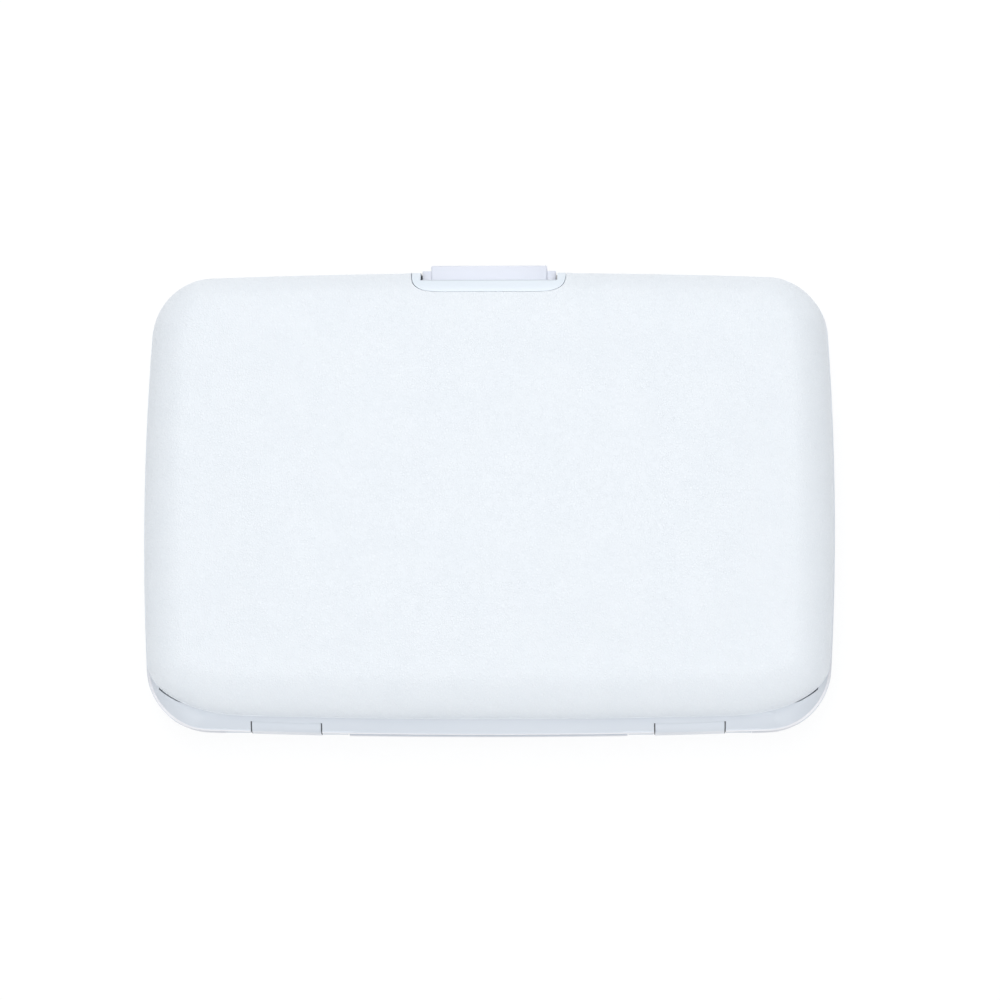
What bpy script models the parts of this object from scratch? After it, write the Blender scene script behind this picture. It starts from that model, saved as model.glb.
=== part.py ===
"""Hard card case: two domed shells on moulded frames, hinged along one long side,
with a spring push button opposite and a fan of pleated card pockets inside.

Metres, +Z up. The case lies on its rear shell, hinge towards -Y, button towards +Y.
Each mesh is drawn in the case frame: its origin is the middle of the case outline on
the parting plane, so a height above that plane is positive on the front half.
"""

import math

import bmesh
import bpy
import numpy as np

# Case outline, seen from above, and its two bulged pairs of sides
CASE_WIDTH = 0.110
CASE_DEPTH = 0.0749
CASE_THICKNESS = 0.020
SIDE_BULGE = 0.0015
LONG_BULGE = 0.00115
LATCH_CORNER_RADIUS = 0.0088
HINGE_CORNER_RADIUS = 0.0094
FIT_GAP = 0.0003

# Shells: a rolled rim round a nearly flat crown, cut back along the hinge
SHELL_WALL = 0.0011
SHELL_INSET = 0.00015
SHELL_TAPER = 0.0002
SHELL_ROLL = 0.0065
CROWN_RISE = 0.0009
ROLL_POWER = 2.3
SHELL_HINGE_SETBACK = 0.0032
SHELL_CORNER_LENGTH = 0.0112
SHELL_CORNER_DEPTH = 0.0074
CROWN_RING_SHARES = (0.84, 0.66, 0.48)
CROWN_ROLL_SHARE = 0.18
ROLL_STEPS = 6

# Thumb notch in each shell, over the button
NOTCH_MARGIN = 0.0015
NOTCH_DEPTH = 0.00475
NOTCH_CORNER_LENGTH = 0.0065
NOTCH_POWER = 3.6
NOTCH_CORNER_STEPS = 7

# Frames: a rim at the parting plane and a wall that stands inside the shell
FLANGE_HEIGHT = 0.0009
RIM_WIDTH = 0.00045
RIM_HEIGHT = 0.00035
LEDGE_ROUND = 0.0006
LEDGE_CUT = 0.00005
LEDGE_RAMP_START_SHARE = 0.35
LEDGE_RAMP_END_SHARE = 0.82
FRAME_WALL_INSET = 0.0035
FRAME_WALL_RISE_SHARE = 0.66
FRAME_WALL_STEPS = 3
GROOVE_WIDTH = 0.00055
GROOVE_DEPTH = 0.0011
GROOVE_START = math.radians(16)
GROOVE_DEEPEST = math.radians(31)
GROOVE_END = math.radians(74)

# Hinge: a block of the rear frame between two ears of the front frame, on a steel pin
HINGE_END_ROOM = 0.0232
BLOCK_WIDTH = 0.0108
KNUCKLE_SLIT = 0.0003
EAR_WIDTH = 0.0040
KNUCKLE_RADIUS = 0.0022
EAR_RADIUS = 0.0019
KNUCKLE_CLEARANCE = 0.0002
PIN_RADIUS = 0.0006
PIN_CLEARANCE = 0.00005
PIN_END_WALL = 0.0008
LID_OPENING = math.radians(55)
RELIEF_MARGIN = math.radians(2)

# Push button, its housing and its springs
PAD_WIDTH = 0.0212
PAD_HEIGHT = 0.0064
PAD_THICKNESS = 0.0024
PAD_SLIT = 0.0003
TAB_STEP = 0.00135
TAB_PROUD = 0.0008
PAD_BEVEL = 0.00025
BUTTON_TRAVEL = 0.0012
HOUSING_DEPTH = 0.0075
CATCH_WALL = 0.0016
STEM_WIDTH = 0.0100
STEM_HEIGHT = 0.0024
BAR_LUG = 0.0014
BAR_THICKNESS = 0.0016
BAR_HEIGHT = 0.0036
HOOK_WIDTH = 0.0096
HOOK_ARM = 0.0010
CATCH_WEB = 0.0004
NOSE_HEIGHT = 0.0011
NOSE_PROUD = 0.0005
SPRING_WEB = 0.0009
SPRING_RADIUS = 0.00125
SPRING_WIRE = 0.0004
SPRING_CLEARANCE = 0.0002
SPRING_TURNS = 3.5
SPRING_SEAT_WALL = 0.0005

# Card pockets: boards joined at their sides and foot by pleated film
POCKET_COUNT = 6
BOARD_THICKNESS = 0.0005
BOARD_SIDE_ROOM = 0.0058
BOARD_FOOT_ROOM = 0.0005
BOARD_MOUTH_ROOM = 0.0010
BOARD_FOOT_RADIUS = 0.0090
BOARD_MOUTH_RADIUS = 0.0030
SCOOP_WIDTH = 0.0300
SCOOP_DEPTH = 0.0040
FILM_THICKNESS = 0.00025
PLEAT_DEPTH = 0.0050
FOOT_PLEAT_DEPTH = 0.0014
PLEAT_MOUTH_GAP = 0.0015
LINING_THICKNESS = 0.0004
LINING_DROP = 0.00065

# Fineness of the outlines and round parts
LONG_STEPS = 10
SHORT_STEPS = 6
CORNER_STEPS = 7
MOUTH_STEPS = 24
ROUND_SIDES = 28
PIN_SIDES = 20

OVERRUN = 0.002

half_width = CASE_WIDTH / 2 - SIDE_BULGE
half_depth = CASE_DEPTH / 2 - LONG_BULGE
latch_edge = CASE_DEPTH / 2
seam = FIT_GAP / 2
notch_width = PAD_WIDTH + 2 * (PAD_SLIT + NOTCH_MARGIN)
housing_width = notch_width - 2 * FIT_GAP
ledge_height = KNUCKLE_RADIUS + KNUCKLE_CLEARANCE - LEDGE_CUT
crown = CASE_THICKNESS / 2
shoulder = crown - CROWN_RISE
hinge_spacing = CASE_WIDTH - 2 * HINGE_END_ROOM
bulge_at_hinge = LONG_BULGE * (1 - (hinge_spacing / 2 / half_width) ** 2)
axis_y = KNUCKLE_RADIUS - half_depth - bulge_at_hinge
relief = LID_OPENING / 2 + RELIEF_MARGIN
hinge_places = (-hinge_spacing / 2, hinge_spacing / 2)

# Places of the latch, along Y: the button's pad slides in a pocket behind the outline
pad_back = latch_edge - PAD_THICKNESS
pocket_back = pad_back - BUTTON_TRAVEL - FIT_GAP
catch_face = pocket_back - CATCH_WALL
bar_front = catch_face - FIT_GAP
bar_back = bar_front - BAR_THICKNESS
housing_back = latch_edge - HOUSING_DEPTH
nose_tip = catch_face - FIT_GAP
hook_arm_front = nose_tip - NOSE_PROUD
spring_seat = housing_back + SPRING_SEAT_WALL

# Heights of the latch, and its widths across X
stem_low = seam + FIT_GAP
stem_top = stem_low + STEM_HEIGHT
bar_top = stem_low + BAR_HEIGHT
pocket_height = PAD_HEIGHT / 2 + FIT_GAP
catch_roof = -(pocket_height + CATCH_WEB)
nose_top = catch_roof - FIT_GAP
nose_foot = nose_top - NOSE_HEIGHT
bar_width = STEM_WIDTH + 2 * BAR_LUG
spring_bore = SPRING_RADIUS + SPRING_CLEARANCE
spring_height = PAD_HEIGHT / 2 - SPRING_RADIUS - seam
spring_place = bar_width / 2 + FIT_GAP + SPRING_WEB + spring_bore
spring_places = (-spring_place, spring_place)

# Places of the boards
board_width = CASE_WIDTH - 2 * BOARD_SIDE_ROOM
board_low = SHELL_HINGE_SETBACK + FRAME_WALL_INSET - half_depth + BOARD_FOOT_ROOM
board_high = bar_back - BUTTON_TRAVEL - BOARD_MOUTH_ROOM
lining_height = shoulder - SHELL_WALL - LINING_DROP
pocket_pitch = 2 * lining_height / POCKET_COUNT


def board_height(number):
    """Middle height of board 0 (rear lining) to POCKET_COUNT (front lining)."""
    return pocket_pitch * (number - POCKET_COUNT / 2)


def clear_scene():
    for thing in list(bpy.data.objects):
        bpy.data.objects.remove(thing, do_unlink=True)


def make_material(name, color, roughness, metallic=0.0):
    material = bpy.data.materials.new(name)
    material.use_nodes = True
    shader = material.node_tree.nodes["Principled BSDF"]
    shader.inputs["Base Color"].default_value = (*color, 1.0)
    shader.inputs["Roughness"].default_value = roughness
    shader.inputs["Metallic"].default_value = metallic
    return material


def add_empty(name, place, parent=None):
    empty = bpy.data.objects.new(name, None)
    empty.location = place
    empty.parent = parent
    bpy.context.scene.collection.objects.link(empty)
    return empty


def add_mesh(name, points, faces):
    """A closed mesh with its faces turned outwards."""
    mesh = bpy.data.meshes.new(name)
    work = bmesh.new()
    corners = [work.verts.new(point) for point in points]
    for face in faces:
        work.faces.new([corners[index] for index in face])
    bmesh.ops.recalc_face_normals(work, faces=work.faces)
    work.to_mesh(mesh)
    work.free()
    thing = bpy.data.objects.new(name, mesh)
    bpy.context.scene.collection.objects.link(thing)
    return thing


def smooth_shade(thing, degrees=35):
    thing.data.shade_smooth()
    thing.data.set_sharp_from_angle(angle=math.radians(degrees))


def seat(thing, parent, material=None):
    """Puts a mesh of the case frame under its empty, which stands on the joint's axis."""
    thing.parent = parent
    thing.location = (0, -axis_y, 0) if parent.name.endswith("axis") else (0, 0, 0)
    if material is not None:
        thing.data.materials.append(material)
    return thing


def hide_tool(thing, parent):
    thing.hide_render = True
    thing.display_type = "WIRE"
    return seat(thing, parent)


def combine(target, tool, operation, parent):
    hide_tool(tool, parent)
    step = target.modifiers.new(tool.name, "BOOLEAN")
    step.operation = operation
    step.solver = "EXACT"
    step.object = tool


def prism_parts(outline, axis, low, high):
    """Points and faces of an outline in the plane across an axis, drawn from low to high."""
    count = len(outline)
    points = []
    for level in (low, high):
        for first, second in outline:
            place = [first, second]
            place.insert("xyz".index(axis), level)
            points.append(place)
    faces = [list(range(count)), list(range(count, 2 * count))]
    for index in range(count):
        after = (index + 1) % count
        faces.append([index, after, count + after, count + index])
    return points, faces


def prism(name, outlines, axis, spans):
    """One object of separate prisms: an outline and a (low, high) span for each."""
    points, faces = [], []
    for outline, (low, high) in zip(outlines, spans):
        more_points, more_faces = prism_parts(outline, axis, low, high)
        start = len(points)
        points += more_points
        faces += [[start + index for index in face] for face in more_faces]
    return add_mesh(name, points, faces)


def box_outline(low_first, high_first, low_second, high_second):
    return [(low_first, low_second), (high_first, low_second), (high_first, high_second),
            (low_first, high_second)]


def circle(center_first, center_second, radius, sides):
    turns = [2 * math.pi * (step + 0.5) / sides for step in range(sides)]
    return [(center_first + radius * math.cos(turn), center_second + radius * math.sin(turn))
            for turn in turns]


def rounded_box(x_half, y_low, y_high, low_radii, high_radius, high_steps=LONG_STEPS):
    """Points of a rounded rectangle, counter-clockwise from the left end of its low side."""
    low_x, low_y = low_radii
    corners = [
        (x_half - low_x, y_low + low_y, low_x, low_y, -90),
        (x_half - high_radius, y_high - high_radius, high_radius, high_radius, 0),
        (high_radius - x_half, y_high - high_radius, high_radius, high_radius, 90),
        (low_x - x_half, y_low + low_y, low_x, low_y, 180),
    ]
    arcs = []
    for center_x, center_y, radius_x, radius_y, start in corners:
        turn = np.radians(np.linspace(start, start + 90, CORNER_STEPS + 1))
        arcs.append(np.stack([center_x + radius_x * np.cos(turn),
                              center_y + radius_y * np.sin(turn)], axis=1))
    points = []
    for number, steps in enumerate((LONG_STEPS, SHORT_STEPS, high_steps, SHORT_STEPS)):
        begin, end = arcs[number - 1][-1], arcs[number][0]
        shares = np.linspace(0, 1, steps + 1)[1:-1, None]
        points += [begin + (end - begin) * shares, arcs[number]]
    return np.concatenate(points)


def bulge(points):
    """Bows the four sides outwards, most at their middles."""
    x, y = points[:, 0], points[:, 1]
    wide = 1 + SIDE_BULGE / half_width * (1 - (y / half_depth) ** 2)
    deep = 1 + LONG_BULGE / half_depth * (1 - (x / half_width) ** 2)
    return np.stack([x * wide, y * deep], axis=1)


def frame_outline(inset):
    corner = HINGE_CORNER_RADIUS - inset
    return bulge(rounded_box(half_width - inset, inset - half_depth, half_depth - inset,
                             (corner, corner), LATCH_CORNER_RADIUS - inset))


def shell_outline(inset):
    """The shell's outline is cut back along the hinge and tapers a little towards it."""
    points = bulge(rounded_box(
        half_width - SHELL_INSET - inset,
        SHELL_HINGE_SETBACK - half_depth + inset,
        half_depth - SHELL_INSET - inset,
        (SHELL_CORNER_LENGTH - inset, SHELL_CORNER_DEPTH - inset),
        LATCH_CORNER_RADIUS - inset))
    towards_hinge = (half_depth - points[:, 1]) / (2 * half_depth)
    points[:, 0] *= 1 - SHELL_TAPER / half_width * towards_hinge ** 2
    return points


def ledge_tops():
    """Height of the frame's ledge under each outline point: low at the latch, tall at the hinge."""
    y = frame_outline(0)[:, 1]
    towards_hinge = (half_depth - y) / (2 * half_depth)
    span = LEDGE_RAMP_END_SHARE - LEDGE_RAMP_START_SHARE
    ramp = np.clip((towards_hinge - LEDGE_RAMP_START_SHARE) / span, 0, 1)
    low = seam + FLANGE_HEIGHT
    return low + (ledge_height - low) * ramp * ramp * (3 - 2 * ramp)


def groove_depths():
    """Depth of the groove beside the shell's lip: it opens and closes round each hinge corner."""
    outer = frame_outline(0)
    past_corner_x = np.abs(outer[:, 0]) - half_width + HINGE_CORNER_RADIUS
    past_corner_y = HINGE_CORNER_RADIUS - half_depth - outer[:, 1]
    turn = np.arctan2(past_corner_y, past_corner_x)
    opening = np.clip((turn - GROOVE_START) / (GROOVE_DEEPEST - GROOVE_START), 0, 1)
    closing = np.clip((GROOVE_END - turn) / (GROOVE_END - GROOVE_DEEPEST), 0, 1)
    return GROOVE_DEPTH * opening * closing


def ring(outline, heights, side):
    z = np.broadcast_to(heights, len(outline)) * side
    return np.column_stack([outline, z])


def crown_rise(reach_share):
    """The crown's rise over the shoulder: a parabola from its flat middle down to the lip.

    The reach is counted from the flat middle outwards, as a share of the crown's half size.
    """
    span = 1 - CROWN_RING_SHARES[-1] + CROWN_ROLL_SHARE
    return CROWN_RISE * (1 - (reach_share / span) ** 2)


def roof_height(inset):
    """Height that the rolled rim tends to at an inset from the lip."""
    return shoulder + crown_rise(1 - CROWN_RING_SHARES[-1]
                                 + CROWN_ROLL_SHARE * (1 - inset / SHELL_ROLL))


def roll_ring(turn, wall, gap, side):
    """Ring of the shell's rolled rim: a quarter of a superellipse over the outline.

    Its inset goes from the wall's thickness to the roll's width, and its height from
    the ledge to the roof, as the turn goes from 0 to 90 degrees.
    """
    start = ledge_tops() + (FIT_GAP - gap)
    across = math.cos(turn) ** (2 / ROLL_POWER) if turn < math.pi / 2 else 0.0
    up = math.sin(turn) ** (2 / ROLL_POWER)
    inset = wall + gap + (SHELL_ROLL - wall - gap) * (1 - across)
    heights = start + (roof_height(inset) - wall - gap - start) * up
    return ring(shell_outline(inset), heights, side)


def crown_rings(wall, side):
    """Rings that close the shell over its rolled rim, up to a flat middle."""
    edge = shell_outline(SHELL_ROLL)
    middle = (edge.max(axis=0) + edge.min(axis=0)) / 2
    rings = []
    for share in CROWN_RING_SHARES:
        height = shoulder - wall + crown_rise(share - CROWN_RING_SHARES[-1])
        rings.append(ring(middle + (edge - middle) * share, height, side))
    return rings


def loft(name, rings, closed=False):
    """Skins rings of equal counts in order; an open loft gets a flat cap at each end."""
    count = len(rings[0])
    points = np.concatenate(rings)
    pairs = [(number, number + 1) for number in range(len(rings) - 1)]
    if closed:
        pairs.append((len(rings) - 1, 0))
    faces = []
    for first, second in pairs:
        for index in range(count):
            after = (index + 1) % count
            a, b = first * count + index, first * count + after
            c, d = second * count + after, second * count + index
            faces.append([a, b, c, d])
    if not closed:
        faces.append(list(range(count)))
        faces.append(list(range((len(rings) - 1) * count, len(rings) * count)))
    return add_mesh(name, points, faces)


def notch_outline():
    """The thumb notch from above: a flat bottom with superelliptic corners, open outwards."""
    turns = np.linspace(0, math.pi / 2, NOTCH_CORNER_STEPS + 1)
    along = np.sin(turns) ** (2 / NOTCH_POWER) * NOTCH_CORNER_LENGTH
    up = (1 - np.cos(turns).clip(0) ** (2 / NOTCH_POWER)) * NOTCH_DEPTH
    flat = notch_width / 2 - NOTCH_CORNER_LENGTH
    right = [(flat + x, latch_edge - NOTCH_DEPTH + y) for x, y in zip(along, up)]
    right.append((notch_width / 2, latch_edge + OVERRUN))
    left = [(-x, y) for x, y in reversed(right)]
    return right + left


def make_shell(name, side, parent, material):
    turns = np.linspace(0, math.pi / 2, ROLL_STEPS + 1)
    rings = crown_rings(SHELL_WALL, side)[::-1]
    rings += [roll_ring(turn, SHELL_WALL, 0, side) for turn in turns[::-1]]
    rings += [roll_ring(turn, 0, 0, side) for turn in turns]
    rings += crown_rings(0, side)
    shell = loft(name, rings)
    heights = sorted((0, side * (crown + OVERRUN)))
    notch = prism(name + "_notch_tool", [notch_outline()], "z", [heights])
    combine(shell, notch, "DIFFERENCE", parent)
    smooth_shade(shell)
    return seat(shell, parent, material)


def frame_rings(side):
    """The frame's section, carried round the outline: rim, ledge and standing wall.

    Beyond the hinge axis the rim is lifted and drawn in, so that it turns clear of the
    other frame's.
    """
    tops = ledge_tops()
    outer = frame_outline(0)
    beyond = np.maximum(0, axis_y - outer[:, 1])
    lifted = seam + math.sin(relief) * beyond
    drawn_in = np.column_stack([np.zeros(len(outer)), beyond * (1 - math.cos(relief))])
    relief_inset = axis_y + latch_edge
    rings = [
        ring(frame_outline(relief_inset), seam, side),
        ring(outer + drawn_in, lifted, side),
        ring(outer + drawn_in, lifted + RIM_HEIGHT, side),
        ring(frame_outline(RIM_WIDTH) + drawn_in, lifted + RIM_HEIGHT, side),
        ring(frame_outline(RIM_WIDTH + LEDGE_ROUND) + drawn_in, tops, side),
    ]
    last_turn = math.asin(FRAME_WALL_RISE_SHARE ** (ROLL_POWER / 2))
    turns = np.linspace(0, last_turn, FRAME_WALL_STEPS + 1)
    wall = [roll_ring(turn, SHELL_WALL, FIT_GAP, side) for turn in turns]
    ledge, foot, lip = rings[-1][:, :2], wall[0][:, :2], shell_outline(0)
    across = foot - ledge
    width = np.linalg.norm(across, axis=1)
    lip_share = np.clip(((lip - ledge) * across).sum(axis=1) / width ** 2, 0.3, 0.9)
    edge_share = np.maximum(lip_share - GROOVE_WIDTH / width, 0.1)
    deepest = tops - groove_depths()
    wall[0][:, 2] = deepest * side
    rings += [
        ring(ledge + across * edge_share[:, None], tops, side),
        ring(ledge + across * lip_share[:, None], deepest, side),
        *wall,
    ]
    inner = shell_outline(FRAME_WALL_INSET)
    rings.append(ring(inner, rings[-1][:, 2] * side, side))
    rings.append(ring(inner, seam, side))
    return rings


def knuckle_cutter(span):
    """Round room about the axis, open outwards, so that a knuckle can turn in it."""
    radius = KNUCKLE_RADIUS + KNUCKLE_CLEARANCE
    turns = np.linspace(-math.pi / 2, math.pi / 2, ROUND_SIDES // 2 + 1)
    outline = [(axis_y + radius * math.cos(turn), radius * math.sin(turn)) for turn in turns]
    outside = -latch_edge - OVERRUN
    outline += [(outside, radius + OVERRUN), (outside, -radius - OVERRUN)]
    outline[0] = (axis_y, -radius - OVERRUN)
    outline[ROUND_SIDES // 2] = (axis_y, radius + OVERRUN)
    return outline, span


def block_span(center, grow=0.0):
    half = BLOCK_WIDTH / 2 + grow
    return center - half, center + half


def ear_spans(center, grow=0.0):
    inner = BLOCK_WIDTH / 2 + KNUCKLE_SLIT
    outer = inner + EAR_WIDTH
    return [(center - outer - grow, center - inner + grow),
            (center + inner - grow, center + outer + grow)]


def rod_outline(radius, sides):
    return circle(axis_y, 0, radius, sides)


def housing_outline(back, side):
    """Section of the latch housing, across X: it fills the room behind the shells' notches."""
    start = seam + FLANGE_HEIGHT
    last_share = (NOTCH_DEPTH + FIT_GAP - SHELL_WALL) / (SHELL_ROLL - SHELL_WALL)
    top_turn = math.acos((1 - last_share) ** (ROLL_POWER / 2))
    profile = []
    for turn in np.linspace(0, top_turn, FRAME_WALL_STEPS + 2):
        inset = SHELL_WALL + FIT_GAP
        inset += (SHELL_ROLL - inset) * (1 - math.cos(turn) ** (2 / ROLL_POWER))
        rise = math.sin(turn) ** (2 / ROLL_POWER)
        height = start + (roof_height(inset) - SHELL_WALL - FIT_GAP - start) * rise
        profile.append((latch_edge - SHELL_INSET - inset, height * side))
    top = profile[-1][1]
    return [(back, seam * side), (profile[0][0], seam * side), *profile, (back, top)]


def make_frame(name, side, parent, has_ears):
    """A frame with its latch housing, and either the hinge's ears or its blocks."""
    frame = loft(name, frame_rings(side), closed=True)
    back = housing_back if has_ears else catch_face
    housing = prism(name + "_housing_tool", [housing_outline(back, side)], "x",
                    [(-housing_width / 2, housing_width / 2)])
    combine(frame, housing, "UNION", parent)

    room, knuckles = [], []
    for center in hinge_places:
        own = ear_spans(center) if has_ears else [block_span(center)]
        others = [block_span(center, KNUCKLE_SLIT)] if has_ears else ear_spans(center, KNUCKLE_SLIT)
        knuckles += own
        room += others
    cutters = [knuckle_cutter(span) for span in room]
    combine(frame, prism(name + "_knuckle_room_tool", [cutter[0] for cutter in cutters], "x",
                         [cutter[1] for cutter in cutters]), "DIFFERENCE", parent)
    rod = rod_outline(EAR_RADIUS if has_ears else KNUCKLE_RADIUS, ROUND_SIDES)
    combine(frame, prism(name + "_knuckle_tool", [rod] * len(knuckles), "x", knuckles),
            "UNION", parent)
    reach = BLOCK_WIDTH / 2 + KNUCKLE_SLIT + EAR_WIDTH - PIN_END_WALL
    bore = rod_outline(PIN_RADIUS + PIN_CLEARANCE, PIN_SIDES)
    combine(frame, prism(name + "_pin_bore_tool", [bore] * 2, "x",
                         [(center - reach, center + reach) for center in hinge_places]),
            "DIFFERENCE", parent)

    pocket = box_outline(pocket_back, latch_edge + OVERRUN, -OVERRUN, pocket_height)
    pocket = [(y, z * side) for y, z in pocket]
    half_pocket = PAD_WIDTH / 2 + PAD_SLIT
    combine(frame, prism(name + "_pad_pocket_tool", [pocket], "x",
                         [(-half_pocket, half_pocket)]), "DIFFERENCE", parent)
    return frame


def finish_front_frame(frame, parent, material):
    """Cuts the stem's slot, the bar's room and the two spring pockets behind the pad."""
    half_slot = STEM_WIDTH / 2 + FIT_GAP
    slot = box_outline(bar_front, pad_back, -OVERRUN, stem_top + FIT_GAP)
    combine(frame, prism("front_frame_stem_slot_tool", [slot], "x", [(-half_slot, half_slot)]),
            "DIFFERENCE", parent)
    half_room = bar_width / 2 + FIT_GAP
    room = box_outline(housing_back - OVERRUN, catch_face, -OVERRUN, bar_top + FIT_GAP)
    combine(frame, prism("front_frame_bar_room_tool", [room], "x", [(-half_room, half_room)]),
            "DIFFERENCE", parent)
    bores = [circle(place, spring_height, spring_bore, PIN_SIDES) for place in spring_places]
    combine(frame, prism("front_frame_spring_bore_tool", bores, "y",
                         [(spring_seat, pad_back)] * 2), "DIFFERENCE", parent)
    smooth_shade(frame)
    return seat(frame, parent, material)


def finish_rear_frame(frame, parent, material):
    """Cuts the undercut of the catch, which the hook's nose lies against."""
    half_catch = HOOK_WIDTH / 2 + FIT_GAP
    undercut = box_outline(catch_face - OVERRUN, catch_face + NOSE_PROUD,
                           nose_foot - FIT_GAP, catch_roof)
    combine(frame, prism("rear_frame_catch_tool", [undercut], "x", [(-half_catch, half_catch)]),
            "DIFFERENCE", parent)
    smooth_shade(frame)
    return seat(frame, parent, material)


def make_pin(name, center, parent, material):
    reach = BLOCK_WIDTH / 2 + KNUCKLE_SLIT + EAR_WIDTH - PIN_END_WALL - FIT_GAP
    pin = prism(name, [rod_outline(PIN_RADIUS, PIN_SIDES)], "x", [(center - reach, center + reach)])
    smooth_shade(pin)
    return seat(pin, parent, material)


def make_button(name, parent, material):
    """The pad with its proud tab, and behind it the stem, the stop bar and the hook."""
    half_pad = PAD_WIDTH / 2
    half_tab = half_pad - TAB_STEP
    shoulder_y = latch_edge - SHELL_INSET
    plan = [(-half_pad, pad_back), (half_pad, pad_back), (half_pad, shoulder_y),
            (half_tab, shoulder_y), (half_tab, latch_edge + TAB_PROUD),
            (-half_tab, latch_edge + TAB_PROUD), (-half_tab, shoulder_y), (-half_pad, shoulder_y)]
    button = prism(name, [plan], "z", [(-PAD_HEIGHT / 2, PAD_HEIGHT / 2)])
    edge = button.modifiers.new("soft edges", "BEVEL")
    edge.width = PAD_BEVEL
    edge.segments = 2
    edge.limit_method = "ANGLE"

    stem = box_outline(bar_front - BAR_THICKNESS / 2, pad_back + PAD_THICKNESS / 2, stem_low,
                       stem_top)
    combine(button, prism(name + "_stem_tool", [stem], "x", [(-STEM_WIDTH / 2, STEM_WIDTH / 2)]),
            "UNION", parent)
    bar = box_outline(bar_back, bar_front, stem_low, bar_top)
    combine(button, prism(name + "_bar_tool", [bar], "x", [(-bar_width / 2, bar_width / 2)]),
            "UNION", parent)
    arm_back = hook_arm_front - HOOK_ARM
    arm_top = (stem_low + stem_top) / 2
    hook = [(arm_back, arm_top), (arm_back, nose_foot + NOSE_HEIGHT / 2),
            (hook_arm_front, nose_foot), (nose_tip, nose_top - NOSE_HEIGHT / 2),
            (nose_tip, nose_top), (hook_arm_front, nose_top), (hook_arm_front, arm_top)]
    combine(button, prism(name + "_hook_tool", [hook], "x", [(-HOOK_WIDTH / 2, HOOK_WIDTH / 2)]),
            "UNION", parent)
    return seat(button, parent, material)


def make_spring(name, center, parent, material):
    """A round coil along Y, between its seat in the housing and the pad."""
    curve = bpy.data.curves.new(name, "CURVE")
    curve.dimensions = "3D"
    curve.bevel_depth = SPRING_WIRE / 2
    curve.bevel_resolution = 1
    curve.use_fill_caps = True
    count = round(SPRING_TURNS * 10) + 1
    shares = np.linspace(0, 1, count)
    turns = 2 * math.pi * SPRING_TURNS * shares
    radius = SPRING_RADIUS - SPRING_WIRE / 2
    low = spring_seat + FIT_GAP + SPRING_WIRE / 2
    high = pad_back - FIT_GAP - SPRING_WIRE / 2
    spline = curve.splines.new("POLY")
    spline.points.add(count - 1)
    for point, share, turn in zip(spline.points, shares, turns):
        point.co = (center + radius * math.cos(turn), low + (high - low) * share,
                    spring_height + radius * math.sin(turn), 1)
    spring = bpy.data.objects.new(name, curve)
    bpy.context.scene.collection.objects.link(spring)
    print(name, "least gap between turns, mm:",
          round(1000 * ((high - low) / SPRING_TURNS - SPRING_WIRE), 3))
    return seat(spring, parent, material)


def board_outline():
    """A board from above: round at the foot, with a thumb scoop in its mouth edge."""
    foot = (BOARD_FOOT_RADIUS, BOARD_FOOT_RADIUS)
    points = rounded_box(board_width / 2, board_low, board_high, foot, BOARD_MOUTH_RADIUS,
                         MOUTH_STEPS)
    along = np.clip(2 * np.abs(points[:, 0]) / SCOOP_WIDTH, 0, 1)
    scoop = (1 - along ** 2) ** 2 * SCOOP_DEPTH
    at_mouth = points[:, 1] > board_high - BOARD_MOUTH_RADIUS / 2
    points[:, 1] -= np.where(at_mouth, scoop, 0)
    return points


def make_board(name, number, parent, material):
    middle = board_height(number)
    span = (middle - BOARD_THICKNESS / 2, middle + BOARD_THICKNESS / 2)
    board = prism(name, [board_outline().tolist()], "z", [span])
    return seat(board, parent, material)


def make_lining(name, side, parent, material):
    """The end board of the fan: flat towards the cards, crowned to lie in its shell."""
    outline = board_outline()
    middle = (outline.max(axis=0) + outline.min(axis=0)) / 2
    low = lining_height - BOARD_THICKNESS / 2
    edge_height = lining_height - BOARD_THICKNESS / 2 + LINING_THICKNESS
    rings = [ring(outline, low, side), ring(outline, edge_height, side)]
    for share in CROWN_RING_SHARES:
        height = shoulder - SHELL_WALL - FIT_GAP + crown_rise(share - CROWN_RING_SHARES[-1])
        rings.append(ring(middle + (outline - middle) * share, height, side))
    lining = loft(name, rings)
    smooth_shade(lining)
    return seat(lining, parent, material)


def film_path():
    """Route of the film round three edges of a board, from mouth to mouth, and its inward way."""
    half = board_width / 2
    radius = BOARD_FOOT_RADIUS
    mouth = board_high - BOARD_MOUTH_RADIUS - PLEAT_MOUTH_GAP
    side_steps = np.linspace(0, 1, SHORT_STEPS // 2 + 1)[:-1, None]
    turn = np.radians(np.linspace(180, 270, CORNER_STEPS))
    corner = np.stack([radius - half + radius * np.cos(turn),
                       board_low + radius + radius * np.sin(turn)], axis=1)
    inward = np.stack([-np.cos(turn), -np.sin(turn)], axis=1)
    side = np.array([-half, mouth]) + (corner[0] - np.array([-half, mouth])) * side_steps
    left = np.concatenate([side, corner])
    left_in = np.concatenate([np.tile([1.0, 0.0], (len(side), 1)), inward])
    flip = np.array([-1.0, 1.0])
    return np.concatenate([left, left[::-1] * flip]), np.concatenate([left_in, left_in[::-1] * flip])


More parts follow.
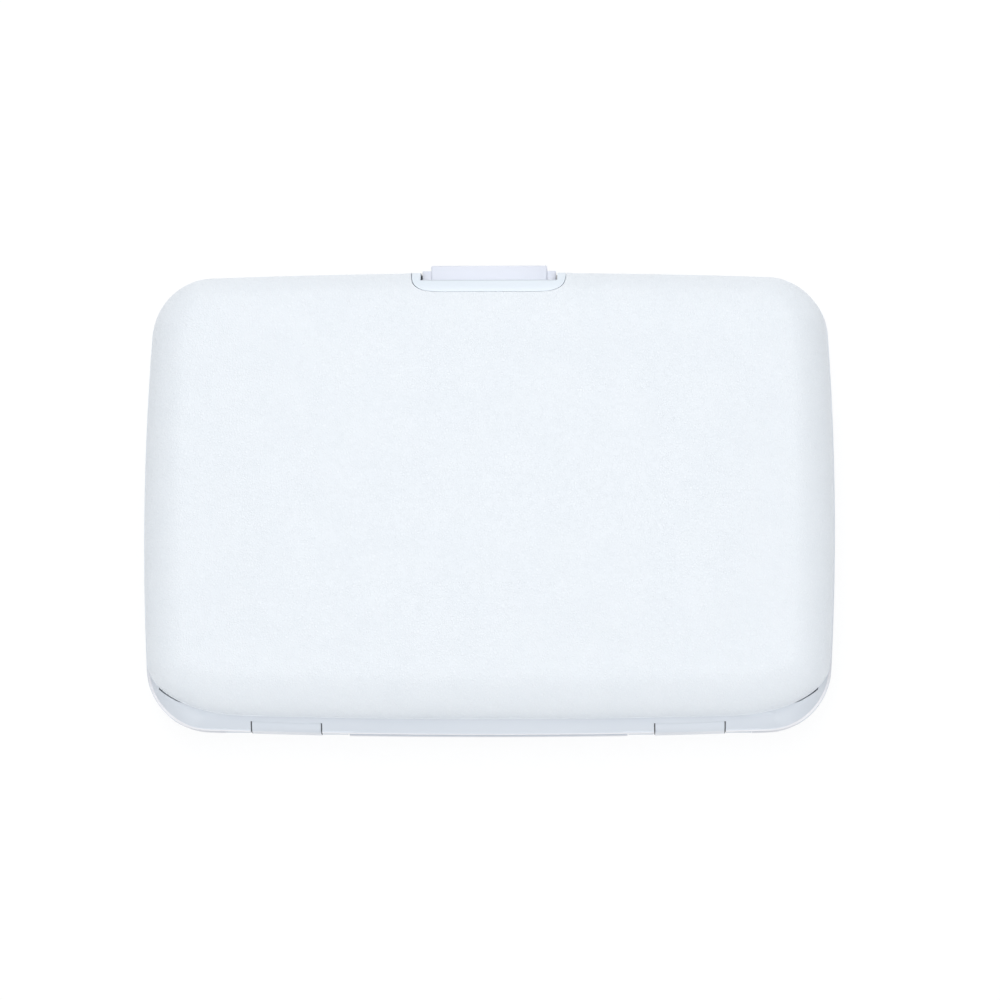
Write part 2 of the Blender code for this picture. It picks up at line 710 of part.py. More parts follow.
def make_film(name, number, parent, material):
    """The pleat between board number and the next: a V that points inwards, shallow at the foot."""
    path, inward = film_path()
    foot = (board_high - path[:, 1]) / (board_high - board_low)
    depth = PLEAT_DEPTH + (FOOT_PLEAT_DEPTH - PLEAT_DEPTH) * foot ** 4
    low = board_height(number) + BOARD_THICKNESS / 2 + FIT_GAP
    high = board_height(number + 1) - BOARD_THICKNESS / 2 - FIT_GAP
    middle = (low + high) / 2
    tip_share = 1 - 2 * FILM_THICKNESS / (high - low)
    section = [(0, low), (1, middle), (0, high), (0, high - FILM_THICKNESS),
               (tip_share, middle), (0, low + FILM_THICKNESS)]
    rings = []
    for reach_share, height in section:
        places = path + inward * depth[:, None] * reach_share
        rings.append(np.column_stack([places, np.full(len(places), height)]))
    points = np.stack(rings, axis=1).reshape(-1, 3)
    across, along = len(section), len(path)
    faces = [list(range(across)), list(range((along - 1) * across, along * across))]
    for step in range(along - 1):
        for index in range(across):
            after = (index + 1) % across
            faces.append([step * across + index, step * across + after,
                          (step + 1) * across + after, (step + 1) * across + index])
    return seat(add_mesh(name, points, faces), parent, material)


def build():
    clear_scene()
    white = (0.86, 0.89, 0.92)
    case = add_empty("case", (0, -TAB_PROUD / 2, CASE_THICKNESS / 2))
    lid = add_empty("lid_axis", (0, axis_y, 0), case)

    make_shell("rear_shell", -1, case, make_material("rear_shell", white, 0.45))
    make_shell("front_shell", 1, lid, make_material("front_shell", white, 0.45))
    frame_material = make_material("rear_frame", (0.80, 0.84, 0.90), 0.35)
    rear = make_frame("rear_frame", -1, case, has_ears=False)
    finish_rear_frame(rear, case, frame_material)
    frame_material = make_material("front_frame", (0.80, 0.84, 0.90), 0.35)
    front = make_frame("front_frame", 1, lid, has_ears=True)
    finish_front_frame(front, lid, frame_material)

    for word, center in zip(("left", "right"), hinge_places):
        name = "hinge_pin_" + word
        make_pin(name, center, case, make_material(name, (0.55, 0.55, 0.57), 0.3, 1.0))
    button = make_button("latch_button", lid, make_material("latch_button", (0.84, 0.84, 0.93), 0.3))
    button.data.shade_flat()
    for word, center in zip(("left", "right"), spring_places):
        name = "latch_spring_" + word
        make_spring(name, center, lid, make_material(name, (0.6, 0.6, 0.62), 0.3, 1.0))

    make_lining("rear_lining", -1, case, make_material("rear_lining", (0.78, 0.80, 0.83), 0.6))
    make_lining("front_lining", 1, lid, make_material("front_lining", (0.78, 0.80, 0.83), 0.6))
    for number in range(1, POCKET_COUNT):
        leaf = add_empty(f"divider_{number}_axis", (0, axis_y, 0), case)
        name = f"divider_{number}"
        make_board(name, number, leaf, make_material(name, (0.80, 0.82, 0.85), 0.5))
    for number in range(POCKET_COUNT):
        name = f"pocket_film_{number + 1}"
        make_film(name, number, case, make_material(name, (0.83, 0.85, 0.88), 0.4))


build()
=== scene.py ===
import math

import bmesh
import bpy
import numpy as np
from mathutils import Matrix, Vector


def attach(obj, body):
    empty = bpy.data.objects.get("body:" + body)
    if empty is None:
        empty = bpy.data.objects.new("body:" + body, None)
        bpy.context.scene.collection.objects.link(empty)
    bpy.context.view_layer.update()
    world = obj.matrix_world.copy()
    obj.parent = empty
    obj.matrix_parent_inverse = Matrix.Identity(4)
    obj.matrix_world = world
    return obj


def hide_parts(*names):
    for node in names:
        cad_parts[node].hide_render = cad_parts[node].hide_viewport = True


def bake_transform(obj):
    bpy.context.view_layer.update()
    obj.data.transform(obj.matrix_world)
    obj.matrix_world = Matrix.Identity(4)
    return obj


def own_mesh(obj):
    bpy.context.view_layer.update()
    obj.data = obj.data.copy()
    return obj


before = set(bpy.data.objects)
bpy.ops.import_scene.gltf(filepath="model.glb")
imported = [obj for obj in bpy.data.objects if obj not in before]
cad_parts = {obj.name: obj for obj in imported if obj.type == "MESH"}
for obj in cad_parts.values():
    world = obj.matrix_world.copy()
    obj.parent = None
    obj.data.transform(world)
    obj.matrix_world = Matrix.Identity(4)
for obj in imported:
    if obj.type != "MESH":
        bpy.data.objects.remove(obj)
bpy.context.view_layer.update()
scene = bpy.context.scene
scene.view_settings.view_transform = "Standard"

# The case's outline and joints, in metres, as the CAD has them. Shapes are worked out in the
# case's own frame, from the middle of its outline on the parting plane.
caseSize = {
    "width": 0.110, "depth": 0.0749, "thickness": 0.020,
    "sideBulge": 0.0015, "longBulge": 0.00115,
    "latchCorner": 0.0088, "hingeCorner": 0.0094,
    "tabProud": 0.0008, "gap": 0.0003, "opening": math.radians(55),
}
halfWidth = caseSize["width"] / 2 - caseSize["sideBulge"]
halfDepth = caseSize["depth"] / 2 - caseSize["longBulge"]
latchEdge = caseSize["depth"] / 2
crownHeight = caseSize["thickness"] / 2
fitGap = caseSize["gap"]
seam = fitGap / 2
casePlace = np.array([0, -caseSize["tabProud"] / 2, crownHeight])

shellSize = {
    "wall": 0.0011, "inset": 0.00015, "taper": 0.0002, "roll": 0.0065, "power": 2.02, "rise": 0.0009,
    "flatShare": 0.48, "rollShare": 0.18, "setback": 0.0026, "cornerLength": 0.0145,
    "cornerDepth": 0.0076, "lipRound": 0.00005,
    "bead": 0.00012, "beadHeight": 0.00014, "beadRound": 0.00004,
}
notchSize = {"halfWidth": 0.0124, "depth": 0.00446, "corner": 0.0065, "power": 3.6}
frameSize = {
    "flange": 0.0009, "rimWidth": 0.00040, "rimHeight": 0.00035, "rimRound": 0.0001,
    "sideRound": 0.0009, "hingeRound": 0.0020, "leastRound": 0.00015, "raise": 0.00027,
    "ledgeHeight": 0.00235, "rampStart": 0.35, "rampEnd": 0.82, "lipNear": 0.0006, "lipSpan": 0.0004,
    "wallInset": 0.0035, "wallRise": 0.66, "grooveWidth": 0.00036, "grooveDepth": 0.0012,
    "grooveFrom": 6, "grooveGrow": 20, "grooveFalls": ((0.8, 40, 14), (0.2, 84, 46)),
}
hingeSize = {
    "spacing": 0.0636, "blockWidth": 0.01092, "slit": 0.00018, "earWidth": 0.00406,
    "radius": 0.0022, "outerEar": 0.00175, "innerEar": 0.00205, "endRound": 0.00012,
    "blockInset": 0.00033, "bossRadius": 0.00208, "bossLength": 0.00013, "bossRound": 0.00003,
    "room": 0.00228, "roomLip": 0.0005, "endGap": 0.0001,
    "pinRadius": 0.0006, "pinEndWall": 0.0008, "pinRound": 0.00015, "boreRoom": 0.00005, "boreRound": 0.0001,
}
latchSize = {
    "padWidth": 0.0214, "padHeight": 0.0064, "padThickness": 0.0024, "slit": 0.00022,
    "tabStep": 0.00142, "stepProud": 0.00002, "travel": 0.0012, "housingDepth": 0.0075, "catchWall": 0.0016,
    "housingWidth": 0.0242, "stemWidth": 0.0100, "stemHeight": 0.0024, "barLug": 0.0014,
    "barThickness": 0.0016, "barHeight": 0.0036, "hookWidth": 0.0096, "hookArm": 0.0010,
    "catchWeb": 0.0004, "noseHeight": 0.0011, "noseProud": 0.0005, "softEdge": 0.00022,
    "shoulderStep": 0.0005, "shoulderEdge": 0.0001,
}

bulgeAtHinge = caseSize["longBulge"] * (1 - (hingeSize["spacing"] / 2 / halfWidth) ** 2)
axisY = hingeSize["radius"] - halfDepth - bulgeAtHinge
relief = caseSize["opening"] / 2 + math.radians(2)
shoulder = crownHeight - shellSize["rise"]

# How far a cutting tool reaches past what it cuts, and the steps of each corner of an outline
overrun = 0.002
cornerSteps = 18
halves = ((1, "front"), (-1, "rear"))


# Meshes


# Puts points of the case frame into a mesh, faces turned outwards.
def makeMesh(name, points, faces, outwards=True):
    mesh = bpy.data.meshes.new(name)
    mesh.from_pydata((np.asarray(points, float).reshape(-1, 3) + casePlace).tolist(), [], faces)
    if outwards:
        work = bmesh.new()
        work.from_mesh(mesh)
        bmesh.ops.recalc_face_normals(work, faces=work.faces)
        work.to_mesh(mesh)
        work.free()
    thing = bpy.data.objects.new(name, mesh)
    scene.collection.objects.link(thing)
    return thing


# Quads between the rows and columns of a grid of points, with either way closed on itself.
def gridFaces(rows, columns, closedRows=False, closedColumns=True):
    index = np.arange(rows * columns).reshape(rows, columns)
    if closedRows:
        index = np.concatenate([index, index[:1]])
    if closedColumns:
        index = np.concatenate([index, index[:, :1]], axis=1)
    corners = (index[:-1, :-1], index[:-1, 1:], index[1:, 1:], index[1:, :-1])
    return np.stack(corners, axis=-1).reshape(-1, 4)


# A skin over rows of closed loops: the section closes on itself, or each end closes in a cap.
def makeLoft(name, grid, closedRows=False, caps="fan"):
    rows, columns = grid.shape[:2]
    points = grid.reshape(-1, 3)
    faces = gridFaces(rows, columns, closedRows).tolist()
    if not closedRows and caps == "face":
        faces += [list(range(columns)), list(range((rows - 1) * columns, rows * columns))]
    elif not closedRows:
        ends = np.stack([grid[0].mean(axis=0), grid[-1].mean(axis=0)])
        for number, start in ((0, 0), (1, (rows - 1) * columns)):
            ring = np.arange(start, start + columns)
            pole = np.full(columns, rows * columns + number)
            faces += np.stack([ring, np.roll(ring, -1), pole], axis=1).tolist()
        points = np.concatenate([points, ends])
    return makeMesh(name, points, faces)


# A flat outline drawn along an axis; outline points are the other two coordinates in order.
def makePrism(name, outline, axis, low, high, levels=2):
    outline = np.asarray(outline, float)
    grid = np.stack([np.insert(outline, "xyz".index(axis), level, axis=1)
                     for level in np.linspace(low, high, levels)])
    return makeLoft(name, grid, caps="face")


# A round rod about the hinge axis: radius r, ends rounded off over a length e by a quarter circle.
def makeRod(name, centerX, halfLength, radius, endRound, sides=64):
    turn = np.linspace(0, math.pi / 2, 5)
    stations = np.concatenate([-halfLength + endRound * (1 - np.sin(turn)),
                               (halfLength - endRound * (1 - np.sin(turn)))[::-1]])
    radii = np.concatenate([radius - endRound * (1 - np.cos(turn)),
                            (radius - endRound * (1 - np.cos(turn)))[::-1]])
    order = np.argsort(stations, kind="stable")
    stations, radii = stations[order], radii[order]
    around = 2 * math.pi * (np.arange(sides) + 0.5) / sides
    grid = np.stack([
        np.broadcast_to(centerX + stations[:, None], (len(stations), sides)),
        axisY + radii[:, None] * np.cos(around),
        radii[:, None] * np.sin(around),
    ], axis=-1)
    return makeLoft(name, grid)


# The corners of a rectangle, in order.
def boxOutline(lowFirst, highFirst, lowSecond, highSecond):
    return [(lowFirst, lowSecond), (highFirst, lowSecond), (highFirst, highSecond),
            (lowFirst, highSecond)]


# Bakes the modifiers into the mesh, so that a finished piece is plain geometry.
def bakeModifiers(thing):
    shape = bpy.data.meshes.new_from_object(thing.evaluated_get(bpy.context.evaluated_depsgraph_get()))
    shape.name = thing.name
    thing.modifiers.clear()
    thing.data = shape
    return thing


# Rounds the edges that turn by more than the given angle.
def softenEdges(thing, width, segments=3, degrees=40):
    edge = thing.modifiers.new("soft edges", "BEVEL")
    edge.width, edge.segments = width, segments
    edge.limit_method, edge.angle_limit = "ANGLE", math.radians(degrees)
    edge.use_clamp_overlap = True
    return bakeModifiers(thing)


# Joins and cuts by tools in the order given, then removes the tools.
def carve(thing, steps):
    for tool, operation in steps:
        step = thing.modifiers.new(tool.name, "BOOLEAN")
        step.operation, step.solver, step.object = operation, "EXACT", tool
    bakeModifiers(thing)
    for tool, operation in steps:
        bpy.data.objects.remove(tool)
    return thing


# Smooth shading, with a crease where faces meet at more than the given angle.
def shadeSmooth(thing, degrees=30):
    thing.data.shade_smooth()
    thing.data.set_sharp_from_angle(angle=math.radians(degrees))
    return thing


# Hands a finished piece to its body, in place of its CAD nodes, with its finish.
def settle(thing, body, node, material, *more):
    thing.data.materials.clear()
    thing.data.materials.append(material)
    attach(thing, body)
    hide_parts(node, *more)


# Outlines


# Loops of a rounded rectangle, one row for each inset: the corner centres stay, their radii shrink
# by the inset, and straight sides join them at the given shares of their length.
def outlineLoops(inset, size, sides, arcSteps=cornerSteps):
    inset = np.asarray(inset, float).reshape(-1, 1)
    arcs = []
    for signX, signY, start in ((1, -1, -90), (1, 1, 0), (-1, 1, 90), (-1, -1, 180)):
        radiusX, radiusY = size["lowCorner"] if signY < 0 else size["highCorner"]
        centerX = signX * (size["x"] - radiusX)
        centerY = size["yLow"] + radiusY if signY < 0 else size["yHigh"] - radiusY
        turn = np.radians(np.linspace(start, start + 90, arcSteps + 1))
        arcs.append(np.stack([centerX + (radiusX - inset) * np.cos(turn),
                              centerY + (radiusY - inset) * np.sin(turn)], axis=-1))
    parts = []
    for number, shares in enumerate(sides):
        begin, end = arcs[number - 1][:, -1:], arcs[number][:, :1]
        parts += [begin + (end - begin) * shares[None, :, None], arcs[number]]
    return np.concatenate(parts, axis=1)


# Bows the sides: x grows by sideBulge (1 - (y / halfDepth)^2) and y by longBulge
# (1 - (x / halfWidth)^2), each in proportion to itself.
def bow(points):
    x, y = points[..., 0], points[..., 1]
    wide = 1 + caseSize["sideBulge"] / halfWidth * (1 - (y / halfDepth) ** 2)
    deep = 1 + caseSize["longBulge"] / halfDepth * (1 - (x / halfWidth) ** 2)
    return np.stack([x * wide, y * deep], axis=-1)


# Equal steps between 0 and 1, without the two ends.
def evenShares(count):
    return np.linspace(0, 1, count + 1)[1:-1]


frameLoop = {
    "x": halfWidth, "yLow": -halfDepth, "yHigh": halfDepth,
    "lowCorner": (caseSize["hingeCorner"],) * 2, "highCorner": (caseSize["latchCorner"],) * 2,
}
shellLoop = {
    "x": halfWidth - shellSize["inset"], "yLow": shellSize["setback"] - halfDepth,
    "yHigh": halfDepth - shellSize["inset"],
    "lowCorner": (shellSize["cornerLength"], shellSize["cornerDepth"]),
    "highCorner": (caseSize["latchCorner"],) * 2,
}


# The shell tapers a little towards the hinge, by the square of the way there.
def shellPlan(points):
    points = bow(points)
    towards = (halfDepth - points[..., 1]) / (2 * halfDepth)
    points[..., 0] *= 1 - shellSize["taper"] / halfWidth * towards ** 2
    return points


# Height of the frame's ledge along the outline: a smooth step from the latch to the hinge.
def ledgeTops(y):
    towards = (halfDepth - y) / (2 * halfDepth)
    begin, end = frameSize["rampStart"], frameSize["rampEnd"]
    ramp = np.clip((towards - begin) / (end - begin), 0, 1)
    low = seam + frameSize["flange"]
    return low + (frameSize["ledgeHeight"] - low) * ramp ** 2 * (3 - 2 * ramp)


# Rise of the crown at a reach outside its flat middle: a parabola down to the lip.
def crownRise(reach):
    span = 1 - shellSize["flatShare"] + shellSize["rollShare"]
    return shellSize["rise"] * (1 - (np.maximum(reach, 0) / span) ** 2)


# The shoulder's height at an inset, where the crown's parabola runs on into the roll.
def roofHeight(inset):
    reach = 1 - shellSize["flatShare"] + shellSize["rollShare"] * (1 - inset / shellSize["roll"])
    return shoulder + crownRise(reach)


# Height over the rolled rim: start + (roof - start) (1 - (1 - s)^p)^(1/p), where s is the share
# of the roll from its lip at the wall's thickness to the shoulder.
def rollHeight(inset, start, wall, gap=0.0):
    lip = wall + gap
    share = np.clip((inset - lip) / (shellSize["roll"] - lip), 0, 1)
    up = (1 - (1 - share) ** shellSize["power"]) ** (1 / shellSize["power"])
    return start + (roofHeight(inset) - lip - start) * up


# Insets at even turns of the roll, the inverse of rollHeight: 1 - cos(t)^(2/p) of its width.
def rollInsets(turns, lip):
    return lip + (shellSize["roll"] - lip) * (1 - np.cos(turns).clip(0) ** (2 / shellSize["power"]))


# Materials


# A socket that takes arithmetic: each operator adds a Math node and wraps its result.
class Socket:
    def __init__(self, graph, output):
        self.graph, self.output = graph, output

    def math(self, operation, *others):
        return self.graph.add("ShaderNodeMath", {"operation": operation}, [self, *others])

    def __add__(self, other):
        return self.math("ADD", other)

    def __mul__(self, other):
        return self.math("MULTIPLY", other)

    def __sub__(self, other):
        return self.math("SUBTRACT", other)

    def __rsub__(self, other):
        return self.graph.add("ShaderNodeMath", {"operation": "SUBTRACT"}, [other, self])

    def __truediv__(self, other):
        return self.math("DIVIDE", other)

    def __pow__(self, other):
        return self.math("POWER", other)

    def __abs__(self):
        return self.math("ABSOLUTE")

    __radd__, __rmul__ = __add__, __mul__

    # 0 below the low value, 1 above the high one, and a smooth step between
    def step(self, low, high):
        return self.graph.add("ShaderNodeMapRange", {"interpolation_type": "SMOOTHSTEP"},
                              {"Value": self, "From Min": low, "From Max": high})

    # 1 between two values, with a smooth step of the given lengths before the low and after the high
    def window(self, low, high, before, after):
        return self.step(low - before, low) * (1 - self.step(high, high + after))


class Graph:
    def __init__(self, tree):
        self.tree = tree

    # Any node: its settings first, then the values or links of its sockets.
    def add(self, kind, settings, sockets, out=0):
        node = self.tree.nodes.new(kind)
        for key, value in settings.items():
            if key == "stops":
                while len(node.color_ramp.elements) < len(value):
                    node.color_ramp.elements.new(0.5)
                for element, (position, color) in zip(node.color_ramp.elements, value):
                    element.position, element.color = position, (*color, 1)
            else:
                setattr(node, key, value)
        for key, value in (sockets.items() if isinstance(sockets, dict) else enumerate(sockets)):
            self.feed(node.inputs[key], value)
        return Socket(self, node.outputs[out])

    def feed(self, target, value):
        if isinstance(value, Socket):
            self.tree.links.new(value.output, target)
        elif isinstance(value, tuple) and target.type == "RGBA" and len(value) == 3:
            target.default_value = (*value, 1)
        else:
            target.default_value = value

    # 1 for the named kinds of ray, 0 for all others
    def seenBy(self, *rays):
        seen = [self.add("ShaderNodeLightPath", {}, {}, ray) for ray in rays]
        return sum(seen[1:], seen[0]).math("MINIMUM", 1.0)

    def mixShaders(self, share, first, second):
        return self.add("ShaderNodeMixShader", {}, {0: share, 1: first, 2: second})

    def show(self, surface, output):
        self.tree.links.new(surface.output, self.tree.nodes[output].inputs["Surface"])


class Finish(Graph):
    def __init__(self, name, **constants):
        self.material = bpy.data.materials.new(name)
        self.material.use_nodes = True
        super().__init__(self.material.node_tree)
        self.shader = self.tree.nodes["Principled BSDF"]
        for key, value in constants.items():
            self.shader.inputs[key.replace("_", " ")].default_value = value

    def set(self, name, value):
        self.feed(self.shader.inputs[name], value)

    def place(self):
        return self.add("ShaderNodeTexCoord", {}, {}, "Object")

    def parts(self, vector):
        return [self.add("ShaderNodeSeparateXYZ", {}, [vector], axis) for axis in ("X", "Y", "Z")]

    def stretched(self, vector, alongX):
        return self.add("ShaderNodeMapping", {}, {"Vector": vector, "Scale": (alongX, 1.0, 1.0)})

    def noise(self, vector, scale, detail=2.0, roughness=0.5):
        return self.add("ShaderNodeTexNoise", {}, {"Vector": vector, "Scale": scale, "Detail": detail,
                                                   "Roughness": roughness})

    def mix(self, share, first, second):
        return self.add("ShaderNodeMix", {"data_type": "RGBA"}, {0: share, 6: first, 7: second}, 2)

    def bump(self, height, distance, strength=1.0):
        self.set("Normal", self.add("ShaderNodeBump", {}, {"Height": height, "Distance": distance,
                                                           "Strength": strength}))


# Grained shell: cells of a fine leather grain with creases between them, over a slow waviness.
grainLook = {
    "light": (0.834, 0.872, 0.914), "shade": (0.804, 0.846, 0.892), "cell": 0.00042, "depth": 0.000040,
    "roughness": 0.34, "wander": 0.0003,
}


# Two tones by mottle 0.45 + grain 0.55, and creases rougher than the cells.
def shellFinish(name):
    look = Finish(name, Roughness=grainLook["roughness"], IOR=1.47, Specular_IOR_Level=0.5)
    place = look.place()
    drift = look.noise(place, 900, 2)
    noise = look.add("ShaderNodeTexNoise", {}, {"Vector": place, "Scale": 1400, "Detail": 1}, 1)
    wander = look.add("ShaderNodeVectorMath", {"operation": "MULTIPLY_ADD"},
                      {0: noise, 1: (grainLook["wander"],) * 3, 2: place})
    cells = look.add("ShaderNodeTexVoronoi", {"feature": "DISTANCE_TO_EDGE"},
                     {"Vector": wander, "Scale": 1 / grainLook["cell"]}, "Distance")
    pebble = cells.step(0.0, 0.32)
    mottle = look.noise(place, 160, 3, 0.6).step(0.3, 0.7)
    look.set("Base Color", look.mix(mottle * 0.45 + pebble * 0.55, grainLook["shade"], grainLook["light"]))
    look.set("Roughness", look.noise(place, 420, 2) * 0.05 + (1 - pebble) * 0.08 + grainLook["roughness"])
    look.bump(pebble * 0.8 + drift * 0.6, grainLook["depth"])
    return look.material


# Smooth moulding: faint flow marks and a slightly varying gloss.
def mouldedFinish(name, light, shade, roughness=0.27):
    look = Finish(name, Roughness=roughness, IOR=1.49)
    place = look.place()
    flow = look.noise(look.stretched(place, 0.25), 260, 3, 0.55)
    look.set("Base Color", look.mix(flow.step(0.3, 0.7), shade, light))
    look.set("Roughness", flow * 0.08 + (roughness - 0.04))
    look.bump(flow, 0.000003)
    return look


# The frames' finish over the moulding. Its tone falls towards the hinge, as painted shade on the side that
# gets less light. A lighter line follows the rim as a painted highlight, by the inset from the outline: R -
# hypot(max(x - (X - R), 0), max(y - (Y - R), 0)) of the unbowed place. On the hinge blocks the line is
# weaker, and beside them it stays above the slanted foot. Slits and the line under the roof are dark by their
# places: painted shade in the slits and a painted shadow under the roof's edge.
def frameFinish(name, side):
    look = mouldedFinish(name, frameLook["light"], frameLook["shade"], 0.38)
    parts = look.parts(look.place())
    x, y, z = abs(parts[0]), parts[1] - casePlace[1], parts[2] - casePlace[2]
    wide = 1 + caseSize["sideBulge"] / halfWidth * (1 - (y / halfDepth) * (y / halfDepth))
    deep = 1 + caseSize["longBulge"] / halfDepth * (1 - (x / halfWidth) ** 2)
    corner = caseSize["hingeCorner"]
    pastX = (x / wide - (halfWidth - corner)).math("MAXIMUM", 0)
    pastY = (0 - y / deep - (halfDepth - corner)).math("MAXIMUM", 0)
    inset = corner - (pastX ** 2 + pastY ** 2) ** 0.5
    # painted highlight: a lighter line along the rim's rounded edge
    rim = inset.window(0.00012, frameSize["rimWidth"], 0.00009, 0.0001)
    besideBlock = abs(x - hingeSize["spacing"] / 2) - hingeSize["blockWidth"] / 2
    overFoot = z * side - (axisY - y).math("MAXIMUM", 0) * math.sin(relief) - seam
    beside = besideBlock.step(0.0, 0.0001)
    rim = rim * ((1 - beside) * 0.45 + beside * overFoot.step(-0.0001, 0.0))

    # painted shade: the hinge slits are coloured near black
    fromAxis = ((y - axisY) * (y - axisY) + z * z) ** 0.5
    inRoom = 1 - fromAxis.step(hingeSize["room"] * 0.99, hingeSize["room"] * 1.01)
    slitMiddle = (hingeSize["blockWidth"] + hingeSize["slit"]) / 2
    fromSlit = abs(abs(x - hingeSize["spacing"] / 2) - slitMiddle)
    paintedSlitShade = (1 - fromSlit.step(hingeSize["slit"] * 0.5, hingeSize["slit"] * 0.62)) * inRoom
    halfPad, roof = latchSize["padWidth"] / 2, housingSize["roofFront"]
    # painted shade: the slits beside the pad are coloured near black
    fromPad = abs(x - (latchSize["padWidth"] + latchSize["slit"]) / 2)
    paintedPadShade = 1 - fromPad.step(latchSize["slit"] * 0.5, latchSize["slit"] * 0.54)
    paintedPadShade = paintedPadShade * y.step(pocketBack - 0.0001, pocketBack)
    paintedPadShade = paintedPadShade * (1 - abs(z).step(pocketHeight + 0.0001, pocketHeight + 0.0003))

    # painted shadow: a dark line on the roof's front edge over the pad
    paintedRoofShadow = y.window(roof - 0.00014, roof, 0.0001, 0.00004)
    paintedRoofShadow = paintedRoofShadow * (1 - x.step(halfPad, halfPad + 0.0002))
    paintedRoofShadow = paintedRoofShadow * abs(z).step(pocketHeight, pocketHeight + 0.0002)

    source = Socket(look, look.shader.inputs["Base Color"].links[0].from_socket)
    # painted shade: the colour is multiplied darker towards the hinge, where less light reaches
    toned = look.add("ShaderNodeMix", {"data_type": "RGBA", "blend_type": "MULTIPLY"},
                     {0: 1 - y.step(-0.031, -0.014), 6: source, 7: frameLook["paintedHingeShade"]}, 2)
    toned = look.mix(rim * 0.8, toned, frameLook["rim"])
    toned = look.mix(paintedRoofShadow * 0.22, toned, frameLook["paintedGapShade"])
    toned = look.mix(paintedSlitShade, toned, frameLook["slit"])
    look.set("Base Color", look.mix(paintedPadShade, toned, frameLook["paintedGapShade"]))
    return look.material


print("frame loaded, helpers ready")

# Shells


shellColumns = {"low": 72, "side": 34, "beside": 30, "notch": 150}


# The notch's edge from its right end to its left, in equal steps: corners are superellipses
# |x|^p + |y|^p = 1 joined by a flat bottom. Columns are x and the depth from the shell's edge.
def notchEdge(count, inside=0.0):
    turn = np.linspace(0, math.pi / 2, 900)
    power = 2 / notchSize["power"]
    flat = notchSize["halfWidth"] - notchSize["corner"]
    x = flat + (notchSize["corner"] - inside) * np.cos(turn).clip(0) ** power
    depth = (notchSize["depth"] - inside) * np.sin(turn) ** power
    x, depth = np.append(x, -x[::-1]), np.append(depth, depth[::-1])
    along = np.append(0, np.cumsum(np.hypot(np.diff(x), np.diff(depth))))
    steps = np.linspace(0, along[-1], count)
    return np.stack([np.interp(steps, along, x), np.interp(steps, along, depth)], axis=1)


# Rows of a shell surface from its lip to the roll's end. In the notch the lip is drawn back to
# the notch's edge, and the rows between close up evenly; heights follow the depth that results.
# A bead sets the roll back from the lip by b (1 - inset / roll), and two rows at the outline
# below it leave a fine step.
def shellRows(insets, lipDepth, edge, wall, sides, tops, notchAt, bead=0.0):
    plan = outlineLoops(insets + bead * (1 - insets / shellSize["roll"]), shellLoop, sides)
    depth = np.broadcast_to(insets[:, None], plan.shape[:2]).copy()
    back = 1 - (insets - lipDepth) / (shellSize["roll"] - lipDepth)
    first = plan[0, notchAt]
    lip = np.stack([edge[:, 0], shellLoop["yHigh"] - np.maximum(edge[:, 1], lipDepth)], axis=1)
    plan[:, notchAt] += (lip - first)[None] * back[:, None, None]
    depth[:, notchAt] = shellLoop["yHigh"] - plan[:, notchAt, 1]
    heights = rollHeight(depth, tops + fitGap + (shellSize["beadHeight"] if bead else 0), wall)
    if bead:
        outside = outlineLoops([0, 0], shellLoop, sides)
        outside[:, notchAt] = plan[0, notchAt]
        foot = heights[0] - np.array([[shellSize["beadHeight"]], [shellSize["beadRound"]]])
        plan, heights = np.concatenate([outside, plan]), np.concatenate([foot, heights])
    return np.concatenate([shellPlan(plan), heights[..., None]], axis=-1)


# Inner and outer surface in one loft. The crown's rows are the roll's last row, drawn in evenly
# towards the middle.
def makeShell(name, side):
    edge = notchEdge(shellColumns["notch"])
    xEnd = shellLoop["x"] - caseSize["latchCorner"]
    beside = np.linspace(xEnd, notchSize["halfWidth"], shellColumns["beside"] + 1)[1:-1]
    across = np.linspace(notchSize["halfWidth"], -notchSize["halfWidth"], shellColumns["notch"])
    highShares = (xEnd - np.concatenate([beside, across, -beside[::-1]])) / (2 * xEnd)
    sides = (evenShares(shellColumns["low"]), evenShares(shellColumns["side"]), highShares,
             evenShares(shellColumns["side"]))
    notchStart = len(sides[0]) + len(sides[1]) + 2 * (cornerSteps + 1) + len(beside)
    notchAt = np.arange(notchStart, notchStart + shellColumns["notch"])
    tops = ledgeTops(bow(outlineLoops([0], frameLoop, sides))[0, :, 1])

    turns = np.linspace(0, math.pi / 2, 25)
    outer = shellRows(rollInsets(turns, 0), 0, edge, 0, sides, tops, notchAt, shellSize["bead"])
    wall = shellSize["wall"]
    inner = shellRows(rollInsets(turns[::2], wall), wall, edge, wall, sides, tops, notchAt)

    middle = (outer[-1, :, :2].max(axis=0) + outer[-1, :, :2].min(axis=0)) / 2
    shares = np.array([0.95, 0.88, 0.80, 0.72, 0.64, 0.56, 0.48, 0.30, 0.12])
    crowns = []
    for lastRow, thickness in ((outer[-1], 0), (inner[-1], wall)):
        plan = middle + (lastRow[None, :, :2] - middle) * shares[:, None, None]
        height = shoulder - thickness + crownRise(shares - shellSize["flatShare"])
        height = np.broadcast_to(height[:, None, None], (*plan.shape[:2], 1))
        crowns.append(np.concatenate([plan, height], axis=-1))
    grid = np.concatenate([crowns[1][::-1], inner[::-1], outer, crowns[0]])
    grid[..., 2] *= side
    shell = makeLoft(name, grid)
    softenEdges(shell, shellSize["lipRound"])
    return shadeSmooth(shell, 32)


for side, half in halves:
    settle(makeShell(half + "Shell", side), half + "_half", half + "_shell", shellFinish(half + "ShellGrain"))
print("shells done")

# Frames


frameColumns = (evenShares(140), evenShares(36), evenShares(120), evenShares(36))


